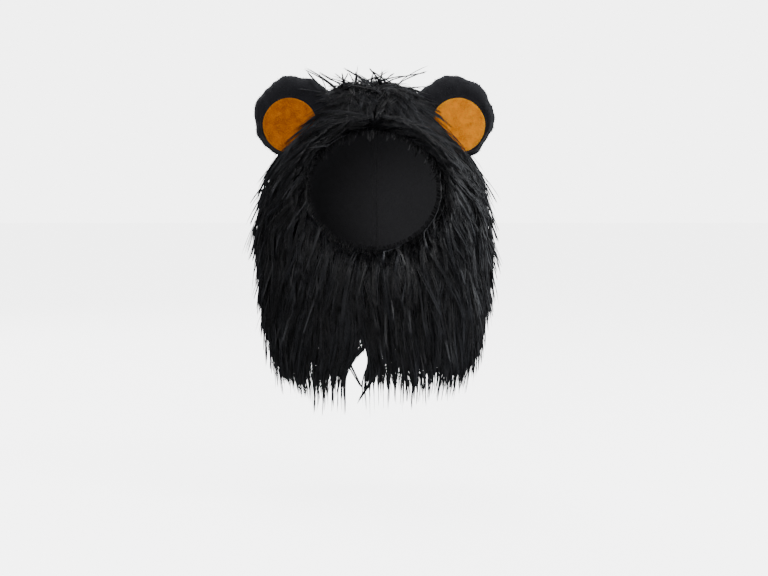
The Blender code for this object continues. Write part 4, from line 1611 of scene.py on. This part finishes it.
# %% Pointed locks that stand off the sides
EDGE_COUNT = 280
EDGE_STOUT = 1.55
EDGE_SHARE, EDGE_SCATTER = 0.72, 17
edge_sides = np.where(chance.uniform(0, 1, EDGE_COUNT) < 0.5, 90.0, -90.0)
edge_azimuths = np.where(chance.uniform(0, 1, EDGE_COUNT) < EDGE_SHARE,
                         edge_sides + chance.normal(0, EDGE_SCATTER, EDGE_COUNT),
                         chance.uniform(0, 360, EDGE_COUNT))
edge_roots = bell_points(edge_azimuths, chance.uniform(0.30, 1.45, EDGE_COUNT))
guides, outwards, keep = guides_from(edge_roots, (0.030, 0.050), wander=0.10,
                                     shortest=0.016)
guides = stood_off(guides, outwards, 0.0040, 0.0100, curve=1.5)
add_strands(*grow_strands(guides, outwards, 7, 0.0012, lift=0.0003), stout=EDGE_STOUT)
print("locks off the sides:", len(guides))

# %% Three wisps that cross the parting
CROSSINGS = (((-0.002, -0.154), (-0.012, -0.168), (-0.021, -0.173)),
             ((-0.021, -0.166), (-0.014, -0.179), (-0.0075, -0.190)),
             ((0.006, -0.172), (-0.003, -0.186), (-0.0115, -0.2005)))
CROSSING_CHILDREN, CROSSING_SPREAD, CROSSING_STOUT = 16, 0.0016, 1.3
bends = np.linspace(0, 1, POINTS)[:, None]
crossing_guides = []
for first, second, third in CROSSINGS:
    flat = ((1 - bends) ** 2 * np.array(first) + 2 * bends * (1 - bends)
            * np.array(second) + bends ** 2 * np.array(third))
    heights = flat[:, 1] + CROWN[2]
    ahead = bell_front(flat[:, 0], heights)
    crossing_guides.append(np.stack([flat[:, 0], ahead, heights], axis=-1))
crossing_guides = np.array(crossing_guides)
crossing_out = np.broadcast_to(np.array((0.0, -1.0, 0.0)), crossing_guides.shape)
keep_strands(*grow_strands(crossing_guides, crossing_out, CROSSING_CHILDREN,
                           CROSSING_SPREAD, lift=0.0002), CROSSING_STOUT)
print("wisps across the parting:", len(CROSSINGS))

# %% Loose hairs on the crown
LOOSE_COUNT = 44
LOOSE_TOP = 0.036
LOOSE_CHILDREN, LOOSE_SPREAD, LOOSE_STOUT = 7, 0.0010, 1.4
loose_roots = sown_patch(LOOSE_COUNT, (0, 360), (-0.015, 0.085))
loose_way = np.stack([chance.normal(0, 1.0, LOOSE_COUNT),
                      chance.normal(-0.10, 0.45, LOOSE_COUNT),
                      chance.uniform(0.10, 0.60, LOOSE_COUNT)], axis=-1)
loose_length = chance.uniform(0.024, 0.044, LOOSE_COUNT)[:, None, None]
loose_way = unit(loose_way)
room = (CROWN[2] + LOOSE_TOP - loose_roots[:, 2]) / loose_way[:, 2]
loose_length = np.minimum(loose_length, room[:, None, None])
bow = np.linspace(0, 1, POINTS)[:, None]
loose_lines = loose_roots[:, None] + loose_way[:, None] * loose_length * bow
loose_lines[..., 2] -= (bow[..., 0] ** 2) * chance.uniform(0.0, 0.004, (LOOSE_COUNT, 1))
loose_out = np.broadcast_to(np.array((0.05, -0.3, 0.95)), loose_lines.shape)
add_strands(*grow_strands(loose_lines, unit(loose_out), LOOSE_CHILDREN, LOOSE_SPREAD,
                          lift=0.0001), stout=LOOSE_STOUT)
print("loose hairs:", LOOSE_COUNT)

# %% [markdown]
# ## The fur as five pieces
# A mesh with every strand in it would be slow to handle and too large to keep whole,
# so the fur is split by where a strand is rooted: the crown, and the front and the
# back of each side. All five stand for the part's mane.

# %% Write the meshes by region
STRAND_THICKNESS = (0.00017, 0.00026)
CROWN_FROM, FRONT_UP_TO = 0.097, 0.030
lines, outs, tones, stouts = (np.concatenate(column) for column in zip(*kept_strands))
thickness = chance.uniform(*STRAND_THICKNESS, len(lines)) * stouts
root = lines[:, 0]
on_crown = root[:, 2] > CROWN_FROM
in_front = root[:, 1] < FRONT_UP_TO
on_left = root[:, 0] > 0
regions = {"fur_crown": on_crown,
           "fur_front_left": ~on_crown & in_front & on_left,
           "fur_front_right": ~on_crown & in_front & ~on_left,
           "fur_back_left": ~on_crown & ~in_front & on_left,
           "fur_back_right": ~on_crown & ~in_front & ~on_left}
for name, chosen in regions.items():
    piece = strand_mesh(name, lines[chosen], outs[chosen], tones[chosen],
                        thickness[chosen])
    put_on(piece, fur_finish, "black_fur", "mane")
print("all strands:", len(lines), "with", len(lines) * STRAND_TRIANGLES, "triangles")

# %% [markdown]
# ## The nap of the fleece
# Fleece has a short nap that blurs its outline. It is made as the fur is, from very
# short strands that stand on the faces of each ear. Blender's cutting and joining
# number the faces differently from run to run, so they are put in a fixed order first.

# %% Short nap on the ears
NAP_COUNT = 2800
NAP_LENGTH, NAP_THICKNESS = 0.0013, 0.00013
NAP_LEAN = 0.65
NAP_FOOT = 0.0002


def in_fixed_order(faces):
    """Triangles sorted by place, each from its lowest corner, so every run agrees."""
    lowest = (faces @ np.array((1.0, 2.7, 7.1))).argmin(1)
    turned = (lowest[:, None] + np.arange(3)) % 3
    faces = np.take_along_axis(faces, turned[..., None], axis=1)
    return faces[np.lexsort(np.round(faces.mean(1) * 1e7).T)]


def nap_on(piece, name, count, length, thickness):
    """Short strands standing on a piece, evenly for its area."""
    mesh = piece.data
    mesh.calc_loop_triangles()
    corners = np.empty(len(mesh.loop_triangles) * 3, np.int32)
    mesh.loop_triangles.foreach_get("vertices", corners)
    points = np.empty(len(mesh.vertices) * 3)
    mesh.vertices.foreach_get("co", points)
    faces = in_fixed_order(points.reshape(-1, 3)[corners.reshape(-1, 3)])
    square = np.cross(faces[:, 1] - faces[:, 0], faces[:, 2] - faces[:, 0])
    area = np.linalg.norm(square, axis=1)
    chosen = chance.choice(len(faces), count, p=area / area.sum())
    a, b = chance.uniform(0, 1, (2, count, 1))
    a, b = np.where(a + b > 1, 1 - a, a), np.where(a + b > 1, 1 - b, b)
    face = faces[chosen]
    foot = face[:, 0] + a * (face[:, 1] - face[:, 0]) + b * (face[:, 2] - face[:, 0])
    out = unit(square[chosen])
    way = unit(out + NAP_LEAN * chance.normal(0, 1, (count, 3)))
    way = unit(way + np.maximum(-(way * out).sum(1, keepdims=True), 0) * 2 * out)
    reach = length * chance.uniform(0.5, 1.2, (count, 1))
    bend = chance.normal(0, 0.25, (count, 3)) * reach
    lines = np.stack([foot - out * NAP_FOOT, foot + way * reach * 0.55,
                      foot + way * reach + bend], axis=1) + CROWN
    outs = np.repeat(unit(np.cross(way, chance.normal(0, 1, (count, 3))))[:, None], 3, 1)
    return strand_mesh(name, lines, outs, chance.uniform(0, 0.5, count),
                       np.full(count, thickness))


for word, ear in ears.items():
    nap = nap_on(ear, f"ear_{word}_nap", NAP_COUNT, NAP_LENGTH, NAP_THICKNESS)
    put_on(nap, fleece_finish, "ear_fleece", f"ear_{word}")
